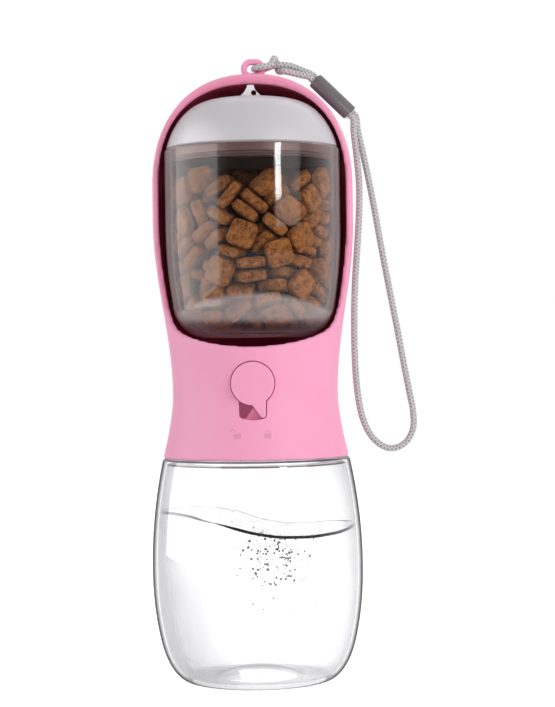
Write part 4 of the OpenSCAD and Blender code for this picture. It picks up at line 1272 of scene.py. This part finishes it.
class BOTTLE_OT_bottle(bpy.types.Operator):
    """Makes the clear water bottle with its punt, neck and thread"""

    bl_idname = "bottle.bottle"
    bl_label = "Water bottle"

    def execute(self, context):
        edge = 0.6
        top = SHOULDER_Z - edge
        outer = foot_profile(0) + bottle_side(0, top) + [
            (SEAM_R - 0.2, SHOULDER_Z - 0.15), (SEAM_R - 0.7, SHOULDER_Z), (NECK_R, SHOULDER_Z),
            (NECK_R, NECK_TOP_Z - 0.3), (NECK_R - 0.3, NECK_TOP_Z)]
        shoulder = SHOULDER_Z - BOTTLE_WALL
        inner = foot_profile(BOTTLE_WALL) + bottle_side(BOTTLE_WALL, shoulder - 0.5) + [
            (SEAM_R - 0.7 - BOTTLE_WALL, shoulder), (NECK_R - BOTTLE_WALL, shoulder),
            (NECK_R - BOTTLE_WALL, NECK_TOP_Z)]
        bm = spun(outer + inner[::-1])
        ridge = bmesh.new()
        ridge_z = SHOULDER_Z + 2.9
        section = [(NECK_R - 0.4, -0.9), (NECK_R + RIDGE, -0.45), (NECK_R + RIDGE, 0.45), (NECK_R - 0.4, 0.9)]
        face = ridge.faces.new([ridge.verts.new((r * MM, 0, (ridge_z + dz) * MM)) for r, dz in section])
        bmesh.ops.spin(
            ridge, geom=[face], cent=(0, 0, 0), axis=(0, 0, 1), angle=TURN * THREAD_TURNS,
            dvec=(0, 0, PITCH / THREAD_STEPS * MM), steps=int(THREAD_STEPS * THREAD_TURNS),
        )
        bottle = to_object("clear_bottle", bm)
        combine(bottle, outward(ridge), "UNION")
        place(bottle, "bottle", "clear_bottle", finish_of("bottle"), "water_bottle")
        # Heights of the bands painted dark as shade at the shoulder seam.
        seam_shade_heights = [(SHOULDER_Z - 0.7, SHOULDER_Z + 0.1), (shoulder - 0.6, shoulder + 0.1)]
        line_inside(bottle, lambda z: bottle_out(z) - BOTTLE_WALL / 2, finish_of("bottle_inner"),
                    finish_of("bottle_line"), seam_shade_z=seam_shade_heights)
        return {"FINISHED"}


def water_line(points):
    """A smooth line through places across the bottle and heights, as a function of the place."""
    route, _ = smooth_route([(x, 0, z) for x, z in points], MM)
    across_x, heights = [p.x / MM for p in route], [p.z / MM for p in route]
    return lambda x: float(np.interp(x, across_x, heights))


NEAR_LINE, FAR_LINE = water_line(NEAR_WATER), water_line(FAR_WATER)


def wave_at(x, y):
    """Height of the water's surface at a place, in millimetres: one line along the near wall, one along the far."""
    s = sizes()
    near = min(max(0.5 - y / (2 * BOTTLE_R), 0), 1)
    height = NEAR_LINE(x) * near + FAR_LINE(x) * (1 - near)
    inward = 1 - min(math.hypot(x, y) / (BOTTLE_R - BOTTLE_WALL), 1) ** 4
    ripple = 0.3 * math.sin(0.31 * x + 0.5 * y) + 0.2 * math.sin(0.65 * y - 0.3 * x)
    return s.water_z / MM + (height - STILL_WATER_Z + ripple * inward) * s.wave


class BOTTLE_OT_water(bpy.types.Operator):
    """Makes the water with its leaning surface, the edge that creeps up the wall, and the bubbles"""

    bl_idname = "bottle.water"
    bl_label = "Water"

    def execute(self, context):
        gap = BOTTLE_WALL + 0.08
        level = sizes().water_z / MM
        sides = [(bottle_out(z) - gap, z) for z in steps(LOW_SIDE_Z, level, 20)]
        wall_r = sides[-1][0]
        surface = [(wall_r * t, level) for t in steps(1, 0, 18)][1:]
        bm = spun(foot_profile(gap) + sides + surface)
        for v in bm.verts:
            z = v.co.z / MM
            share = max(0, (z - LOW_SIDE_Z) / (level - LOW_SIDE_Z))
            lifted = z + (wave_at(v.co.x / MM, v.co.y / MM) - level) * share
            from_axis = math.hypot(v.co.x, v.co.y)
            if share > 0 and from_axis > 0 and from_axis / MM > bottle_out(z) - gap - 0.02:
                v.co.xy *= (bottle_out(lifted) - gap) * MM / from_axis
            v.co.z = lifted * MM
        place(to_object("water", bm), "bottle", None, finish_of("water"))

        for name, start, finish in (("near_water_edge", math.pi, "meniscus"), ("far_water_edge", 0.0, "far_edge")):
            line, radii = [], []
            for a in steps(start, start + math.pi, 120):
                x, y = wall_r * math.cos(a), wall_r * math.sin(a)
                z = wave_at(x, y)
                thin = 0.18
                if name.startswith("near"):
                    thin = (0.22 + 0.36 * min(abs(x + 14) / 8, 1)) * min(0.3 + 4 * abs(math.sin(a)), 1)
                r = bottle_out(z) - gap - thin - 0.08
                line.append(Vector((r * math.cos(a), r * math.sin(a), z)) * MM)
                radii.append(thin * MM)
            edge = cord_tube(line, radii, 8)
            place(to_object(name, edge), "bottle", None, finish_of(finish))

        rng = np.random.default_rng(BUBBLE_SEED)
        ball = bmesh.new()
        bmesh.ops.create_icosphere(ball, subdivisions=1, radius=1)
        pattern = to_mesh("pattern", ball)
        bubbles = bmesh.new()
        places = []
        for _ in range(sizes().bubbles):
            at = Vector([rng.normal(middle, spread) for middle, spread in zip(BUBBLE_CENTRE, BUBBLE_SPREAD)])
            at.z = min(at.z, wave_at(at.x, at.y) - 1.5)
            places.append((at, Vector((1, 1, 1)) * (0.17 + 0.42 * rng.random() ** 3)))
        places += [(Vector(at), Vector((1.4, 0.9, 0.45))) for at in FLAT_BUBBLES]
        for at, size in places:
            start = len(bubbles.verts)
            bubbles.from_mesh(pattern)
            bubbles.verts.ensure_lookup_table()
            for v in bubbles.verts[start:]:
                v.co = (v.co * size + at) * MM
        bpy.data.meshes.remove(pattern)
        place(to_object("bubbles", bubbles), "bottle", None, finish_of("bubble"))
        return {"FINISHED"}


# --- solids that stay ---

STAYING = {
    "white": ["valve_block", "thread_collar", "gland_ring", "plunger"],
    "silicone": ["outlet_seal", "bottle_gasket", "front_o_ring", "valve_o_ring"],
    # The lid's seal is painted dark as shade.
    "silicone_painted_shade": ["lid_seal"],
    "steel": ["valve_screws", "knob_clip", "return_spring", "latch_pin"],
}


class BOTTLE_OT_fittings(bpy.types.Operator):
    """Gives the valve, seals, screws, spring and pins their finishes"""

    bl_idname = "bottle.fittings"
    bl_label = "Fittings"

    def execute(self, context):
        for finish, nodes in STAYING.items():
            for node in nodes:
                mesh = frame["nodes"][node].data
                mesh.materials.clear()
                mesh.materials.append(finish_of(finish))
        return {"FINISHED"}


# --- the add-on's parts ---


class BOTTLE_PT_panel(bpy.types.Panel):
    """Lists the bottle's pieces and settings"""

    bl_idname = "BOTTLE_PT_panel"
    bl_label = "Pet Travel Bottle"
    bl_space_type = "VIEW_3D"
    bl_region_type = "UI"
    bl_category = "Pet Bottle"

    def draw(self, context):
        for operator in OPERATORS:
            self.layout.operator(operator.bl_idname)
        for group in (context.scene.bottle_sizes, context.scene.bottle_colours):
            for key in group.bl_rna.properties.keys():
                if key not in {"rna_type", "name"}:
                    self.layout.prop(group, key)


OPERATORS = (
    BOTTLE_OT_stage,
    BOTTLE_OT_lanyard,
    BOTTLE_OT_shell,
    BOTTLE_OT_knob,
    BOTTLE_OT_cup,
    BOTTLE_OT_lid,
    BOTTLE_OT_food,
    BOTTLE_OT_bottle,
    BOTTLE_OT_water,
    BOTTLE_OT_fittings,
)
CLASSES = (BottleColours, BottleSizes, *OPERATORS, BOTTLE_PT_panel)


def register():
    for cls in CLASSES:
        bpy.utils.register_class(cls)
    bpy.types.Scene.bottle_colours = PointerProperty(type=BottleColours)
    bpy.types.Scene.bottle_sizes = PointerProperty(type=BottleSizes)


def unregister():
    del bpy.types.Scene.bottle_sizes
    del bpy.types.Scene.bottle_colours
    for cls in reversed(CLASSES):
        bpy.utils.unregister_class(cls)


def main():
    register()
    for operator in OPERATORS:
        getattr(bpy.ops.bottle, operator.bl_idname.partition(".")[2])()


if __name__ == "__main__":
    main()
